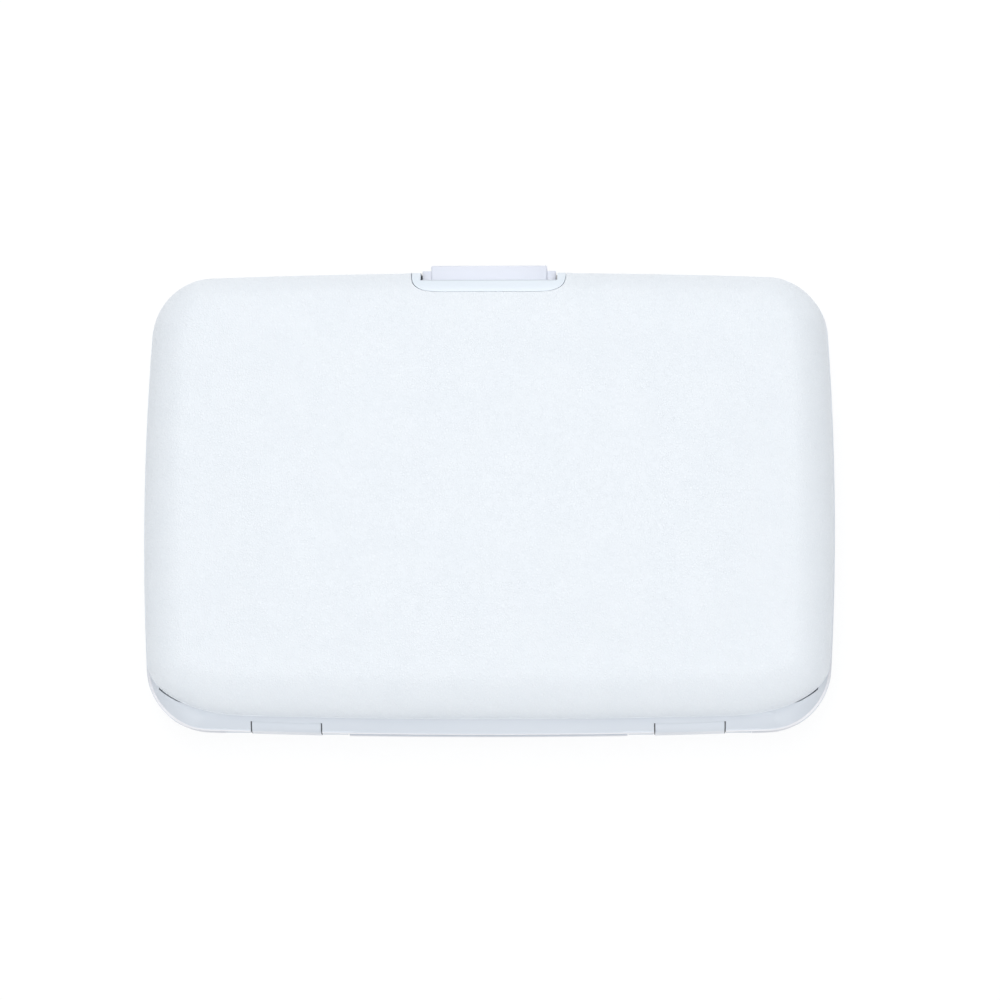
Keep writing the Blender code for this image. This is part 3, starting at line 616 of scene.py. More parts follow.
# Share of the groove beside the shell's lip, by the turn in degrees round a hinge corner: a
# smooth step up, times the sum of straight falls w (end - turn) / span; 0 elsewhere.
def cornerGap(plan):
    corner = caseSize["hingeCorner"]
    pastX = (np.abs(plan[:, 0]) - halfWidth + corner) / corner
    pastY = (-plan[:, 1] - halfDepth + corner) / corner
    turn = np.degrees(np.arctan2(pastY, pastX))
    grow = np.clip((turn - frameSize["grooveFrom"]) / frameSize["grooveGrow"], 0, 1)
    fall = sum(weight * np.clip((end - turn) / span, 0, 1) for weight, end, span in frameSize["grooveFalls"])
    return grow ** 2 * (3 - 2 * grow) * fall


# The section carried round the outline: a rounded rim, a ledge that curves up from it by a
# quarter sine, straighter towards the hinge and carried on to the groove's edge, the groove
# beside the shell's lip, and the wall that stands inside the shell. Beyond the hinge axis the
# rim is lifted by sin and drawn in by 1 - cos of the relief angle.
def frameGrid(side):
    outer = bow(outlineLoops([0], frameLoop, frameColumns))[0]
    beyond = np.maximum(0, axisY - outer[:, 1])
    lifted = seam + math.sin(relief) * beyond
    drawnIn = np.stack([np.zeros(len(outer)), beyond * (1 - math.cos(relief))], axis=1)
    tops = ledgeTops(outer[:, 1]) + frameSize["raise"]

    def frameRing(inset, height, drawn=1.0):
        plan = bow(outlineLoops([inset], frameLoop, frameColumns))[0] + drawnIn * drawn
        return np.column_stack([plan, np.broadcast_to(height, len(plan))])

    rows = [frameRing(axisY + latchEdge, seam, 0.0)]
    curl, width, rise = frameSize["rimRound"], frameSize["rimWidth"], frameSize["rimHeight"]
    for turn in np.radians((-90, -45, 0)):
        rows.append(frameRing(curl * (1 - math.cos(turn)), lifted + curl * (1 + math.sin(turn))))
    for turn in np.radians((0, 45, 90)):
        rows.append(frameRing(curl * (1 - math.cos(turn)), lifted + rise - curl * (1 - math.sin(turn))))
    base = lifted + rise
    foot = frameRing(width, base)[:, :2]
    ramp = ((tops - tops.min()) / np.ptp(tops))[:, None]
    plainLip = np.abs(outlineLoops([0], shellLoop, frameColumns)[0])
    corner, probe = caseSize["hingeCorner"], 0.001
    past = np.maximum(0, plainLip - (halfWidth - corner, halfDepth - corner))
    lipInset = corner - np.hypot(*past.T)
    gapShare = cornerGap(outer) ** 0.5
    wanted = frameSize["sideRound"] + (frameSize["hingeRound"] - frameSize["sideRound"]) * ramp[:, 0]
    limited = np.maximum(lipInset - width - frameSize["grooveWidth"] * gapShare, frameSize["leastRound"])
    near = np.clip((lipInset - frameSize["lipNear"]) / frameSize["lipSpan"], 0, 1)
    wanted += (np.minimum(wanted, limited) - wanted) * near
    top = bow(outlineLoops([width], frameLoop, frameColumns))[0]
    deeper = bow(outlineLoops([width + probe], frameLoop, frameColumns))[0]
    ledge = top + (deeper - top) * wanted[:, None] / probe + drawnIn
    wallFoot = shellPlan(outlineLoops([shellSize["wall"] + fitGap], shellLoop, frameColumns))[0]
    lip = shellPlan(outlineLoops([0], shellLoop, frameColumns))[0]
    reach = np.hypot(*(wallFoot - ledge).T)
    lipShare = np.clip(((lip - ledge) * (wallFoot - ledge)).sum(axis=1) / reach ** 2, 0.02, 0.9)
    deep = frameSize["grooveDepth"] * gapShare
    start = np.clip(lipShare - frameSize["grooveWidth"] * np.clip(gapShare, 0.2, 1) / reach, 0.01, 1)
    top = ledge + (wallFoot - ledge) * (start * np.clip(3 * gapShare - 0.3, 0, 0.99))[:, None]
    for share in np.linspace(0, 1, 11):
        curve = math.sin(share * math.pi / 2)
        climb = curve + 0.5 * ramp[:, 0] * (share - curve)
        rows.append(np.column_stack([foot + (top - foot) * share, base + (tops - base) * climb]))

    for share, drop in ((start, 0), (start + 0.15 * (lipShare - start), 0.85), (lipShare, 1),
                        (lipShare + 0.8 * (1 - lipShare), 1)):
        rows.append(np.column_stack([ledge + (wallFoot - ledge) * share[:, None], tops - deep * drop]))

    lastTurn = math.asin(frameSize["wallRise"] ** (shellSize["power"] / 2))
    insets = rollInsets(np.linspace(0, lastTurn, 9), shellSize["wall"] + fitGap)
    wall = shellPlan(outlineLoops(insets, shellLoop, frameColumns))
    heights = rollHeight(insets[:, None], tops[None, :], shellSize["wall"], fitGap)
    rows += list(np.concatenate([wall, heights[..., None]], axis=-1))
    inner = shellPlan(outlineLoops([frameSize["wallInset"]], shellLoop, frameColumns))[0]
    rows.append(np.column_stack([inner, heights[-1]]))
    rows.append(np.column_stack([inner, np.full(len(inner), seam)]))
    grid = np.stack(rows)
    grid[..., 2] *= side
    return grid


padBack = latchEdge - latchSize["padThickness"]
pocketBack = padBack - latchSize["travel"] - fitGap
catchFace = pocketBack - latchSize["catchWall"]
barFront = catchFace - fitGap
barBack = barFront - latchSize["barThickness"]
housingBack = latchEdge - latchSize["housingDepth"]
noseTip = catchFace - fitGap
hookFront = noseTip - latchSize["noseProud"]
stemLow = seam + fitGap
stemTop = stemLow + latchSize["stemHeight"]
barTop = stemLow + latchSize["barHeight"]
pocketHeight = latchSize["padHeight"] / 2 + fitGap
catchRoof = -(pocketHeight + latchSize["catchWeb"])
noseTop = catchRoof - fitGap
noseFoot = noseTop - latchSize["noseHeight"]
barWidth = latchSize["stemWidth"] + 2 * latchSize["barLug"]

housingSize = {"proud": 0.0001, "plugFront": 0.00003, "plugDrop": 0.00035, "plugGap": 0.00014,
               "plugReach": 0.0004, "roofFront": 0.03508, "rearSlit": 0.00006}
springSize = {"radius": 0.00125, "wire": 0.0004, "clearance": 0.0002, "web": 0.0009, "turns": 3.5,
              "seatWall": 0.0005}
springBore = springSize["radius"] + springSize["clearance"]
springHeight = latchSize["padHeight"] / 2 - springSize["radius"] - seam
springX = barWidth / 2 + fitGap + springSize["web"] + springBore
springSeat = housingBack + springSize["seatWall"]

hingePlaces = (-hingeSize["spacing"] / 2, hingeSize["spacing"] / 2)
earEnd = hingeSize["blockWidth"] / 2 + hingeSize["slit"] + hingeSize["earWidth"]

# How far the bow carries the middle of the latch side outwards
latchBow = 1 + caseSize["longBulge"] / halfDepth


# Height of the housing's roof, which follows the shell's inner surface, at an inset from the edge.
def housingRoof(inset):
    under = np.maximum(inset + housingSize["proud"], shellSize["wall"] + fitGap)
    return rollHeight(under, seam + frameSize["flange"] + frameSize["raise"], shellSize["wall"], fitGap)


# A section whose top runs over the given insets, closed along the parting plane.
def sectionBelow(insets, heights, side):
    y = (shellLoop["yHigh"] - insets) * latchBow
    ends = [(y[-1], seam), (y[0], seam)]
    return np.concatenate([ends, np.column_stack([y, heights])]) * (1, side)


# The latch housing's section, from the frame's wall back to the given place.
def housingOutline(back, side):
    front = shellSize["wall"] + fitGap - housingSize["proud"]
    insets = np.linspace(front, shellLoop["yHigh"] - back / latchBow, 26)
    return sectionBelow(insets, housingRoof(insets), side)


# The plug fills the notch a little inside its edge, and its top follows the shell's outer surface a
# little below it; over the pad it is open.
def makePlug(name, side):
    insets = np.linspace(housingSize["plugFront"], notchSize["depth"] + housingSize["plugReach"], 30)
    heights = rollHeight(insets, seam + frameSize["flange"] + fitGap, 0) - housingSize["plugDrop"]
    half = notchSize["halfWidth"] + housingSize["plugReach"]
    plug = makePrism(name, sectionBelow(insets, heights, side), "x", -half, half, 90)
    edge = notchEdge(120, housingSize["plugGap"])
    plan = shellPlan(np.column_stack([edge[:, 0], shellLoop["yHigh"] - edge[:, 1]]))
    outside = latchEdge + overrun / 2
    plan = np.concatenate([plan, [(plan[-1, 0], outside), (plan[0, 0], outside)]])
    return carve(plug, [(makePrism(name + "Edge", plan, "z", -crownHeight, crownHeight), "INTERSECT")])


# Room for a knuckle to turn in: a half circle about the axis, open outwards.
def knuckleRoom(name, low, high):
    turn = np.linspace(-math.pi / 2, math.pi / 2, 41)
    room, over = hingeSize["room"], overrun
    reach = math.asin(hingeSize["roomLip"] / room)
    turn *= 1 + 2 * reach / math.pi
    outline = np.column_stack([axisY + room * np.cos(turn), room * np.sin(turn)])
    opening = [(outline[-1, 0], room + over), (outline[-1, 0], -room - over)]
    outline = np.concatenate([opening[1:], outline, opening[:1]])
    outside = -latchEdge - over
    outline = np.concatenate([outline, [(outside, room + over), (outside, -room - over)]])
    return makePrism(name, outline, "x", low, high)


# From end to end of a hinge's block, with room at both ends.
def blockSpan(center, grow=0.0):
    half = hingeSize["blockWidth"] / 2 + grow
    return center - half, center + half


# Spans of a hinge's two ears, or of the rooms that they turn in.
def earSpans(center, rooms=False):
    near = hingeSize["blockWidth"] / 2 + (0 if rooms else hingeSize["slit"])
    far = earEnd + (hingeSize["endGap"] if rooms else 0)
    return [(center - far, center - near), (center + near, center + far)]


# The frame's ring with the latch's housing and plug. It is cut for the other half's knuckles,
# gets its own blocks or ears, and is cut for the pins and for the button or its catch.
def makeFrame(name, side, hasEars):
    body = makeLoft(name, frameGrid(side), closedRows=True)
    steps = []

    def join(tool):
        steps.append((tool, "UNION"))

    def cut(tool):
        steps.append((tool, "DIFFERENCE"))

    def across(part, outline, half):
        return makePrism(name + part, outline, "x", -half, half)

    outline = housingOutline(housingBack if hasEars else catchFace, side)
    join(softenEdges(across("Housing", outline, latchSize["housingWidth"] / 2), 0.0001, 2, 50))
    join(makePlug(name + "Plug", side))
    halfPocket = latchSize["padWidth"] / 2 + (latchSize["slit"] if hasEars else housingSize["rearSlit"])
    outside = latchEdge + overrun
    mouth = np.array(boxOutline(housingSize["roofFront"], outside, pocketHeight - 0.0001, crownHeight))
    cut(across("Mouth", mouth * (1, side), halfPocket))
    for number, center in enumerate(hingePlaces):
        rooms = [blockSpan(center, hingeSize["slit"])] if hasEars else earSpans(center, True)
        for span in rooms:
            cut(knuckleRoom(f"{name}Room{number}{span[0]:.4f}", *span))
        for low, high in earSpans(center) if hasEars else [blockSpan(center)]:
            radius = hingeSize["radius"]
            if hasEars:
                radius = hingeSize["innerEar" if abs(low + high) < 2 * abs(center) else "outerEar"]
            join(makeRod(f"{name}Rod{number}{low:.4f}", (low + high) / 2, (high - low) / 2, radius,
                         hingeSize["endRound"]))
            if not hasEars:
                join(makeRod(f"{name}Boss{number}", center, (high - low) / 2 + hingeSize["bossLength"],
                             hingeSize["bossRadius"], hingeSize["bossRound"]))
                ends = np.linspace(low - 0.0002, high + 0.0002, 9)
                bulge = caseSize["longBulge"] * (1 - (ends / halfWidth) ** 2)
                front = np.column_stack([ends, hingeSize["blockInset"] - halfDepth - bulge])
                flat = np.concatenate([front, [(ends[-1], -outside), (ends[0], -outside)]])
                cut(makePrism(f"{name}Flat{number}", flat, "z", -0.003, 0.003))
        cut(makeRod(f"{name}Bore{number}", center, earEnd - hingeSize["pinEndWall"],
                    hingeSize["pinRadius"] + hingeSize["boreRoom"], hingeSize["boreRound"], sides=32))
    pocket = np.array(boxOutline(pocketBack, outside, -overrun, pocketHeight)) * (1, side)
    cut(across("Pocket", pocket, halfPocket))
    if hasEars:
        slot = boxOutline(barFront, padBack, -overrun, stemTop + fitGap)
        cut(across("StemSlot", slot, latchSize["stemWidth"] / 2 + fitGap))
        room = boxOutline(housingBack - overrun, catchFace, -overrun, barTop + fitGap)
        cut(across("BarRoom", room, barWidth / 2 + fitGap))
        turn = 2 * math.pi * (np.arange(40) + 0.5) / 40
        bore = springBore * np.stack([np.cos(turn), np.sin(turn)], axis=1)
        for place in (-springX, springX):
            cut(makePrism(f"springBore{place:.4f}", bore + (place, springHeight), "y", springSeat, padBack))
    else:
        undercut = boxOutline(catchFace - overrun, catchFace + latchSize["noseProud"], noseFoot - fitGap,
                              catchRoof)
        cut(across("Undercut", undercut, latchSize["hookWidth"] / 2 + fitGap))
    return shadeSmooth(carve(body, steps), 30)


# The hinge multiplier is painted shade, the rim colour a painted highlight, and the slit and gap colours
# painted shade.
frameLook = {
    "light": (0.796, 0.860, 0.922), "shade": (0.776, 0.842, 0.908), "paintedHingeShade": (0.858, 0.843, 0.848),
    "rim": (0.88, 0.87, 0.895), "slit": (0.07, 0.075, 0.09), "paintedGapShade": (0.02, 0.022, 0.03),
}
for side, half in halves:
    name = half + "Frame"
    settle(makeFrame(name, side, side > 0), half + "_half", half + "_frame",
           frameFinish(name + "Moulding", side))
print("frames done")

# Latch button


buttonLook = {"light": (0.768, 0.792, 0.872), "shade": (0.748, 0.775, 0.862), "roughness": 0.24}


# Pad and tab as two rounded blocks, with the stem, the stop bar and the hook behind them.
def makeButton():
    halfPad = latchSize["padWidth"] / 2
    halfTab = halfPad - latchSize["tabStep"]
    stepY, front = latchEdge + latchSize["stepProud"], latchEdge + caseSize["tabProud"]
    halfHeight, lower = latchSize["padHeight"] / 2, latchSize["padHeight"] / 2 - latchSize["shoulderStep"]
    pad = makePrism("latchButton", boxOutline(-halfPad, halfPad, padBack, stepY), "z", -lower, lower)
    pad = softenEdges(pad, latchSize["shoulderEdge"], 3)
    tab = makePrism("tab", boxOutline(-halfTab, halfTab, padBack, front), "z", -halfHeight, halfHeight)
    stem = boxOutline(barFront - 0.0008, padBack + 0.0012, stemLow, stemTop)
    half = latchSize["stemWidth"] / 2
    steps = [(softenEdges(tab, latchSize["softEdge"], 4), "UNION"),
             (softenEdges(makePrism("stem", stem, "x", -half, half), 0.0001, 2), "UNION")]
    bar = boxOutline(barBack, barFront, stemLow, barTop)
    steps.append((softenEdges(makePrism("bar", bar, "x", -barWidth / 2, barWidth / 2), 0.00012, 2), "UNION"))
    armBack, armTop = hookFront - latchSize["hookArm"], (stemLow + stemTop) / 2
    nose = latchSize["noseHeight"] / 2
    hook = [(armBack, armTop), (armBack, noseFoot + nose), (hookFront, noseFoot), (noseTip, noseTop - nose),
            (noseTip, noseTop), (hookFront, noseTop), (hookFront, armTop)]
    half = latchSize["hookWidth"] / 2
    steps.append((makePrism("hook", hook, "x", -half, half), "UNION"))
    return shadeSmooth(carve(pad, steps), 32)


settle(makeButton(), "push_button", "latch_button",
       mouldedFinish("buttonMoulding", buttonLook["light"], buttonLook["shade"],
                      buttonLook["roughness"]).material)
print("button done")

# Steel


steelLook = {"pin": (0.56, 0.57, 0.60), "spring": (0.62, 0.63, 0.65), "darker": 0.82}


# Bright steel, with fine marks drawn out along X.
def steelFinish(name, color):
    look = Finish(name, Metallic=1.0, Roughness=0.28)
    place = look.place()
    marks = look.noise(look.stretched(place, 0.08), 5200, 3, 0.6)
    darker = tuple(steelLook["darker"] * part for part in color)
    look.set("Base Color", look.mix(marks.step(0.3, 0.7), darker, color))
    look.set("Roughness", marks * 0.16 + 0.2)
    look.bump(marks, 0.000004)
    return look.material


pinHalf = earEnd - hingeSize["pinEndWall"] - fitGap
for end, center in zip(("Left", "Right"), hingePlaces):
    name = "hingePin" + end
    pin = makeRod(name, center, pinHalf, hingeSize["pinRadius"], hingeSize["pinRound"], sides=32)
    settle(shadeSmooth(pin), "rear_half", "hinge_pin_" + end.lower(),
           steelFinish(name + "Steel", steelLook["pin"]))


# A coil along Y: the wire's middle runs at (R cos t, pitch t, R sin t), pitch easing to none in
# the end turns, and the round section stands across the wire.
def makeCoil(name, centerX):
    wire, turns = springSize["wire"], springSize["turns"]
    low, high = springSeat + fitGap + wire / 2, padBack - fitGap - wire / 2
    share = np.linspace(0, 1, 281)
    pace = np.clip(np.minimum(share, 1 - share) * turns / 0.7, 0.18, 1)
    climb = np.append(0, np.cumsum((pace[1:] + pace[:-1]) / 2))
    turn = 2 * math.pi * turns * share
    radius = springSize["radius"] - wire / 2
    middle = np.column_stack([centerX + radius * np.cos(turn), low + (high - low) * climb / climb[-1],
                              springHeight + radius * np.sin(turn)])
    along = np.gradient(middle, axis=0)
    along /= np.linalg.norm(along, axis=1)[:, None]
    outwards = np.column_stack([np.cos(turn), np.zeros_like(turn), np.sin(turn)])
    across = np.cross(along, outwards)
    around = 2 * math.pi * np.arange(12)[None, :, None] / 12
    section = outwards[:, None] * np.cos(around) + across[:, None] * np.sin(around)
    grid = middle[:, None] + wire / 2 * section
    return shadeSmooth(makeLoft(name, grid)), low - wire / 2, high + wire / 2


for end, place in (("Left", -springX), ("Right", springX)):
    name = "latchSpring" + end
    coil, coilLow, coilHigh = makeCoil(name, place)
    settle(coil, "front_half", "latch_spring_" + end.lower(),
           steelFinish(name + "Steel", steelLook["spring"]))
    coilLow + casePlace[1]
    1 - latchSize["travel"] / (coilHigh - coilLow)
    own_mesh(coil)
print("pins and springs done")

# Card pockets


pocketSize = {
    "count": 6, "thickness": 0.0005, "sideRoom": 0.0058, "footRoom": 0.0011, "mouthRoom": 0.0010,
    "footRadius": 0.0090, "mouthRadius": 0.0030, "scoopWidth": 0.0300, "scoopDepth": 0.0040,
    "film": 0.00012, "pleat": 0.0050, "footPleat": 0.0014, "mouthGap": 0.0015, "liningDrop": 0.00065,
    "liningEdge": 0.0004, "liningRound": 0.00006, "weldGap": 0.00004,
}
boardHalf = caseSize["width"] / 2 - pocketSize["sideRoom"]
boardLow = shellSize["setback"] + frameSize["wallInset"] - halfDepth + pocketSize["footRoom"]
boardHigh = barBack - latchSize["travel"] - pocketSize["mouthRoom"]
liningHeight = shoulder - shellSize["wall"] - pocketSize["liningDrop"]
pitch = 2 * liningHeight / pocketSize["count"]
boardLoop = {"x": boardHalf, "yLow": boardLow, "yHigh": boardHigh,
             "lowCorner": (pocketSize["footRadius"],) * 2, "highCorner": (pocketSize["mouthRadius"],) * 2}
boardColumns = (evenShares(40), evenShares(20), evenShares(110), evenShares(20))
sheetLook = {
    "lining": ((0.80, 0.82, 0.85), (0.76, 0.785, 0.82)), "divider": ((0.82, 0.84, 0.87), (0.78, 0.805, 0.84)),
    "film": ((0.80, 0.825, 0.86), (0.85, 0.87, 0.895)), "weldInset": 0.0022,
}


# A board's loops: the mouth edge dips by (1 - (2x / width)^2)^2 in its thumb scoop.
def boardLoops(insets):
    plan = outlineLoops(insets, boardLoop, boardColumns, 12)
    along = np.clip(2 * np.abs(plan[..., 0]) / pocketSize["scoopWidth"], 0, 1)
    atMouth = plan[..., 1] > boardHigh - pocketSize["mouthRadius"] / 2
    plan[..., 1] -= np.where(atMouth, (1 - along ** 2) ** 2 * pocketSize["scoopDepth"], 0)
    return plan


# Boards stand at even steps of the pitch about the parting plane.
def boardHeight(number):
    return pitch * (number - pocketSize["count"] / 2)


# A thin sheet with a half-round edge: inset and height follow a half circle.
def makeBoard(name, number):
    half = pocketSize["thickness"] / 2
    turn = np.radians(np.linspace(-90, 90, 7))
    plan = boardLoops(half * (1 - np.cos(turn)))
    height = boardHeight(number) + half * np.sin(turn)
    grid = np.concatenate([plan, np.broadcast_to(height[:, None, None], (*plan.shape[:2], 1))], axis=-1)
    return shadeSmooth(makeLoft(name, grid, caps="face"), 60)


# Flat towards the cards, domed towards its shell by the crown's own rise.
def makeLining(name, side):
    low = liningHeight - pocketSize["thickness"] / 2
    curl, rim = pocketSize["liningRound"], pocketSize["liningEdge"]
    edge = boardLoops([curl, 0, 0, curl])
    heights = [low, low + curl, low + rim - curl, low + rim]
    middle = (edge[1].max(axis=0) + edge[1].min(axis=0)) / 2
    shares = np.array([0.92, 0.84, 0.75, 0.66, 0.57, 0.48, 0.24])
    rows = [np.column_stack([plan, np.full(len(plan), height)]) for plan, height in zip(edge, heights)]
    for share in shares:
        height = shoulder - shellSize["wall"] - fitGap + crownRise(share - shellSize["flatShare"])
        if share > 0.9:
            height = (height + heights[-1]) / 2
        rows.append(np.column_stack([middle + (edge[1] - middle) * share, np.full(len(edge[1]), height)]))
    grid = np.stack(rows)
    grid[..., 2] *= side
    return shadeSmooth(makeLoft(name, grid, caps="face"), 40)


# Satin sheet: a fine even tooth, and a weld line that follows the board's edge inside it.
def sheetFinish(name, light, shade):
    look = Finish(name, Roughness=0.42, IOR=1.46)
    place = look.place()
    x, y = look.parts(place)[:2]
    fromSide = boardHalf - sheetLook["weldInset"] - abs(x)
    fromFoot = y - (boardLow + casePlace[1] + sheetLook["weldInset"])
    weld = fromSide.math("MINIMUM", fromFoot)
    weld = 1 - abs(weld).step(0.00015, 0.0006)
    tooth = look.noise(place, 3600, 2)
    mottle = look.noise(place, 130, 3, 0.6).step(0.3, 0.7)
    look.set("Base Color", look.mix(mottle * 0.7 + weld * 0.3, light, shade))
    look.set("Roughness", tooth * 0.1 + 0.36 - weld * 0.08)
    look.bump(tooth * 0.15 - weld, 0.00004)
    return look.material


for side, half in halves:
    name = half + "Lining"
    settle(makeLining(name, side), half + "_half", half + "_lining",
           sheetFinish(name + "Sheet", *sheetLook["lining"]))
for number in range(1, pocketSize["count"]):
    name = f"divider{number}"
    settle(makeBoard(name, number), f"leaf_{number}", f"divider_{number}",
           sheetFinish(name + "Sheet", *sheetLook["divider"]))
print("boards done")


# Route of a film round a board's left side, foot and right side, and the way inwards from it.
def filmRoute():
    radius, mouth = pocketSize["footRadius"], boardHigh - pocketSize["mouthRadius"] - pocketSize["mouthGap"]
    turn = np.radians(np.linspace(180, 270, 22))
    corner = np.column_stack([radius - boardHalf + radius * np.cos(turn),
                              boardLow + radius + radius * np.sin(turn)])
    down = np.linspace(mouth, corner[0, 1], 60)[:-1]
    left = np.concatenate([np.column_stack([np.full(59, -boardHalf), down]), corner])
    leftIn = np.concatenate([np.tile([1.0, 0.0], (59, 1)), np.column_stack([-np.cos(turn), -np.sin(turn)])])
    acrossX = np.linspace(corner[-1, 0], -corner[-1, 0], 80)[1:-1]
    foot = np.column_stack([acrossX, np.full(78, boardLow)])
    footIn = np.tile([0.0, 1.0], (78, 1))
    flip = np.array([-1.0, 1.0])
    return (np.concatenate([left, foot, left[::-1] * flip]),
            np.concatenate([leftIn, footIn, leftIn[::-1] * flip]))


# Heights at which a film is welded to the boards below and above it.
def filmLevels(number):
    weld = pocketSize["thickness"] / 2 + pocketSize["weldGap"]
    return boardHeight(number) + weld, boardHeight(number + 1) - weld


# The pleat's section is a V on its side with a rounded fold: reach = depth (1 - sqrt(h^2 + 0.01)
# / 1.005) as the height share h goes from -1 to 1. Faint ripples run along the route, and the
# depth falls towards the foot by the fourth power of the way there.
def makeFilm(name, number):
    route, inwards = filmRoute()
    along = np.append(0, np.cumsum(np.hypot(*np.diff(route, axis=0).T)))
    foot = (boardHigh - route[:, 1]) / (boardHigh - boardLow)
    depth = pocketSize["pleat"] + (pocketSize["footPleat"] - pocketSize["pleat"]) * foot ** 4
    depth = depth * (1 + 0.03 * np.sin(along * 900 + number) * np.sin(along * 310 + 2 * number))
    low, high = filmLevels(number)
    half, thin = (high - low) / 2, pocketSize["film"]
    share = np.linspace(-1, 1, 17)
    reach = 1 - (share ** 2 + 0.01) ** 0.5 / 1.005
    front = np.column_stack([reach, share * half])
    back = np.column_stack([reach - 0.02, share * (half - thin)])[::-1]
    back[:, 0] = np.maximum(back[:, 0] - thin * 0.5 / pocketSize["pleat"], 0.0)
    section = np.concatenate([front, back])
    middle = (low + high) / 2
    plan = route[:, None] + inwards[:, None] * (depth[:, None] * section[None, :, 0])[..., None]
    height = np.broadcast_to(middle + section[None, :, 1], plan.shape[:2])
    grid = np.concatenate([plan, height[..., None]], axis=-1)
    film = makeLoft(name, grid, caps="face")
    slant = np.hypot(depth, half) * 2
    area = float((slant[:-1] + slant[1:]) @ np.diff(along) / 2)
    return shadeSmooth(film, 50), float(along[-1]), float(slant.max()), area


# Soft film: a fine cross-ribbed emboss that follows the pleat, with a faint milky variation.
def filmFinish(name):
    look = Finish(name, Roughness=0.36, IOR=1.45)
    place = look.place()
    rib = look.add("ShaderNodeTexWave", {"wave_type": "BANDS", "bands_direction": "DIAGONAL"},
                   {"Vector": place, "Scale": 900, "Distortion": 1.2, "Detail": 1})
    milk = look.noise(place, 300, 3, 0.6)
    look.set("Base Color", look.mix(milk.step(0.3, 0.7), *sheetLook["film"]))
    look.set("Roughness", rib * 0.08 + 0.32)
    look.bump(rib * 0.4 + milk * 0.6, 0.000012)
    return look.material


for number in range(pocketSize["count"]):
    name = f"pocketFilm{number + 1}"
    film, length, width, area = makeFilm(name, number)
    film.data.materials.append(filmFinish(name + "Film"))
    shares = [0.5 - math.sin(math.asin(1 - 2 * w) / 3) for w in (number / 6, (number + 1) / 6)]
    levels = filmLevels(number)
    span = (levels[1] - levels[0]) / (shares[1] - shares[0])
    start = levels[0] - shares[0] * span + casePlace[2]
    start + span
    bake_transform(film)
    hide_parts(f"pocket_film_{number + 1}")
    if number == 0:
        print(f"film flat size {width * 1000:.1f} x {length * 1000:.1f} mm, area {area * 1e6:.0f} mm2")
print("films done")

# Camera, floor and light


# The camera is a little in front of the case and to its right: away points from the case to it,
# and right and up are its picture's axes, turned by the roll.
viewSize = {"lift": 80.41, "side": 1.60, "roll": -0.187, "distance": 0.7021, "lens": 158.57,
            "sensor": 36, "shiftX": 0.01102, "shiftY": 0.00188}
lens = bpy.data.cameras.new("camera")
lens.lens, lens.sensor_width = viewSize["lens"], viewSize["sensor"]
lens.shift_x, lens.shift_y = viewSize["shiftX"], viewSize["shiftY"]
camera = bpy.data.objects.new("camera", lens)
scene.collection.objects.link(camera)
lift, side, roll = (math.radians(viewSize[key]) for key in ("lift", "side", "roll"))
away = Vector((math.sin(side), -math.cos(lift) * math.cos(side), math.sin(lift) * math.cos(side)))
away.normalize()
right = Vector((0, 1, 0)).cross(away).normalized()
up = away.cross(right)
axes = (right * math.cos(roll) - up * math.sin(roll), right * math.sin(roll) + up * math.cos(roll), away)
camera.matrix_world = Matrix.Translation(Vector((0, 0, crownHeight)) + away * viewSize["distance"]) @ \
    Matrix(axes).transposed().to_4x4()
scene.camera = camera

floorSize = {
    "half": 3, "cells": 31, "drop": 0.00004, "glow": 0.80, "strength": 1.06,
    "underX": 0.050, "underY": 0.033, "underFade": 0.006,
    "light": (0.86, 0.87, 0.88), "shade": (0.84, 0.85, 0.86),
}
lightSize = {
    "world": 0.50, "sky": (0.97, 0.985, 1.0),
    "key": 2.16, "keyWidth": 0.36, "keySize": 0.60, "keyPlace": (-0.01, 0.08, 0.75),
    "sideSize": 0.16, "sideReach": 0.55, "sideLift": 28,
    "sides": {"sideLeft": (222, 0.34), "sideRight": (318, 0.35), "sideFront": (270, 0.11),
              "sideBack": (92, 0.57)},
}

floorMesh = bpy.data.meshes.new("floor")
across = np.linspace(-floorSize["half"], floorSize["half"], floorSize["cells"] + 1)
floorX, floorY = np.meshgrid(across, across)
floorPoints = np.stack([floorX, floorY, np.full_like(floorX, -floorSize["drop"])], axis=-1).reshape(-1, 3)
floorFaces = gridFaces(len(across), len(across), closedColumns=False)
floorMesh.from_pydata(floorPoints.tolist(), [], floorFaces.tolist())
floor = bpy.data.objects.new("floor", floorMesh)
scene.collection.objects.link(floor)

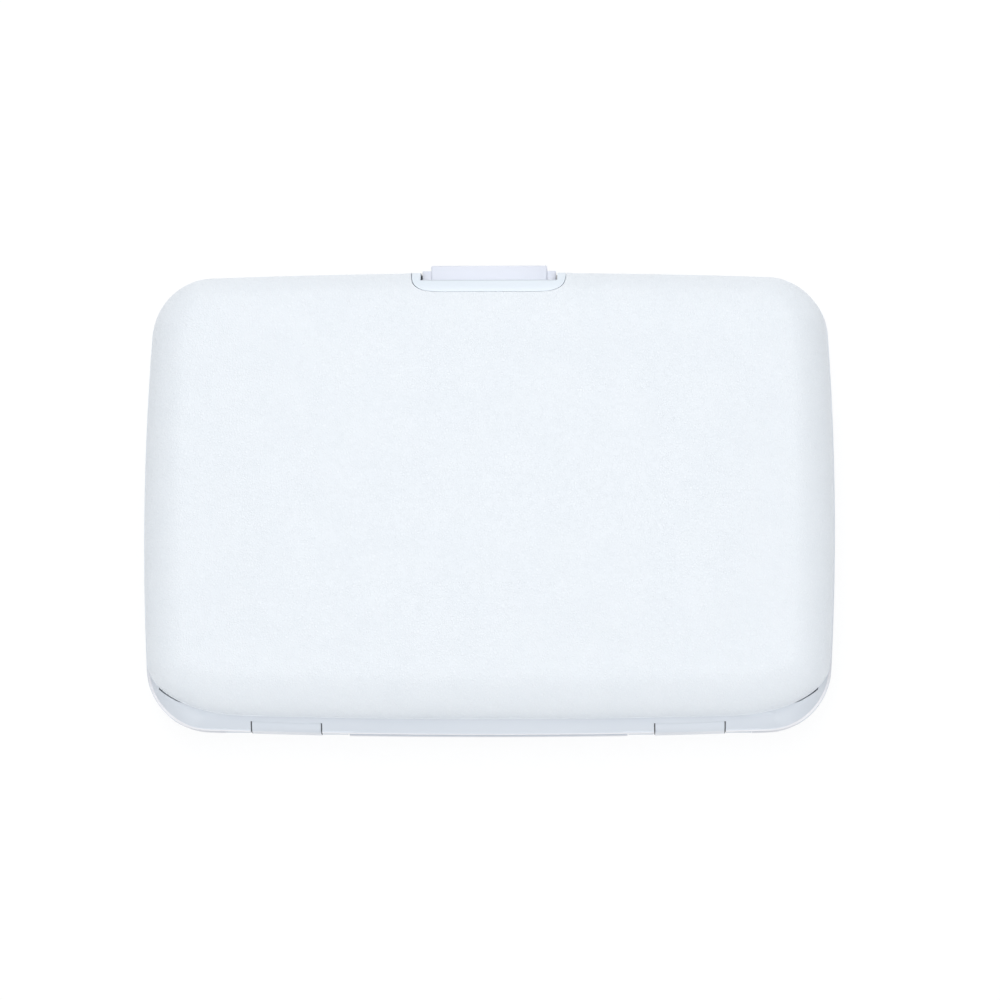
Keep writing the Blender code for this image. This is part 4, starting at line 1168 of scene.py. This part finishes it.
# The paper glows for camera, glossy and transmission rays only. The patch under the case glows
# for every ray and lights the case's back, for views from below, where the floor is clear.
look = Finish("floorPaper", Roughness=0.9, Specular_IOR_Level=0.2)
paper = look.noise(look.place(), 30, 2)
look.set("Base Color", look.mix(paper * 0.2, floorSize["light"], floorSize["shade"]))
glow = look.add("ShaderNodeEmission", {}, {"Color": (1, 1, 1), "Strength": floorSize["strength"]})
shown = look.seenBy("Is Camera Ray", "Is Glossy Ray", "Is Transmission Ray") * floorSize["glow"]
x, y = (abs(part) for part in look.parts(look.place())[:2])
under = 1 - x.step(floorSize["underX"] - floorSize["underFade"], floorSize["underX"])
under = under * (1 - y.step(floorSize["underY"] - floorSize["underFade"], floorSize["underY"]))
surface = look.mixShaders(shown.math("MAXIMUM", under), Socket(look, look.shader.outputs[0]), glow)
fromBelow = look.add("ShaderNodeNewGeometry", {}, {}, "Backfacing")
surface = look.mixShaders(fromBelow, surface, look.add("ShaderNodeBsdfTransparent", {}, {}))
look.show(surface, "Material Output")
floorMesh.materials.append(look.material)

# The world lights the case by its colour and strength, and is white where it is seen.
world = bpy.data.worlds.new("studio")
world.use_nodes = True
scene.world = world
sky = Graph(world.node_tree)
plain = sky.add("ShaderNodeBackground", {}, {"Color": lightSize["sky"], "Strength": lightSize["world"]})
white = sky.add("ShaderNodeBackground", {}, {"Color": (1, 1, 1)})
seen = sky.seenBy("Is Camera Ray", "Is Glossy Ray", "Is Transmission Ray")
sky.show(sky.mixShaders(seen, plain, white), "World Output")


# A rectangular lamp that faces the case.
def addSoftbox(name, place, width, height, energy):
    light = bpy.data.lights.new(name, "AREA")
    light.shape, light.size, light.size_y, light.energy = "RECTANGLE", width, height, energy
    softbox = bpy.data.objects.new(name, light)
    softbox.location = place
    softbox.rotation_euler = (-Vector(place)).to_track_quat("-Z", "Y").to_euler()
    scene.collection.objects.link(softbox)


addSoftbox("key", lightSize["keyPlace"], lightSize["keyWidth"], lightSize["keySize"], lightSize["key"])
for name, (turn, energy) in lightSize["sides"].items():
    lift, turn = math.radians(lightSize["sideLift"]), math.radians(turn)
    place = (math.cos(lift) * math.cos(turn), math.cos(lift) * math.sin(turn), math.sin(lift))
    addSoftbox(name, tuple(lightSize["sideReach"] * part for part in place), lightSize["sideSize"],
               lightSize["sideSize"], energy)
print("stage done")
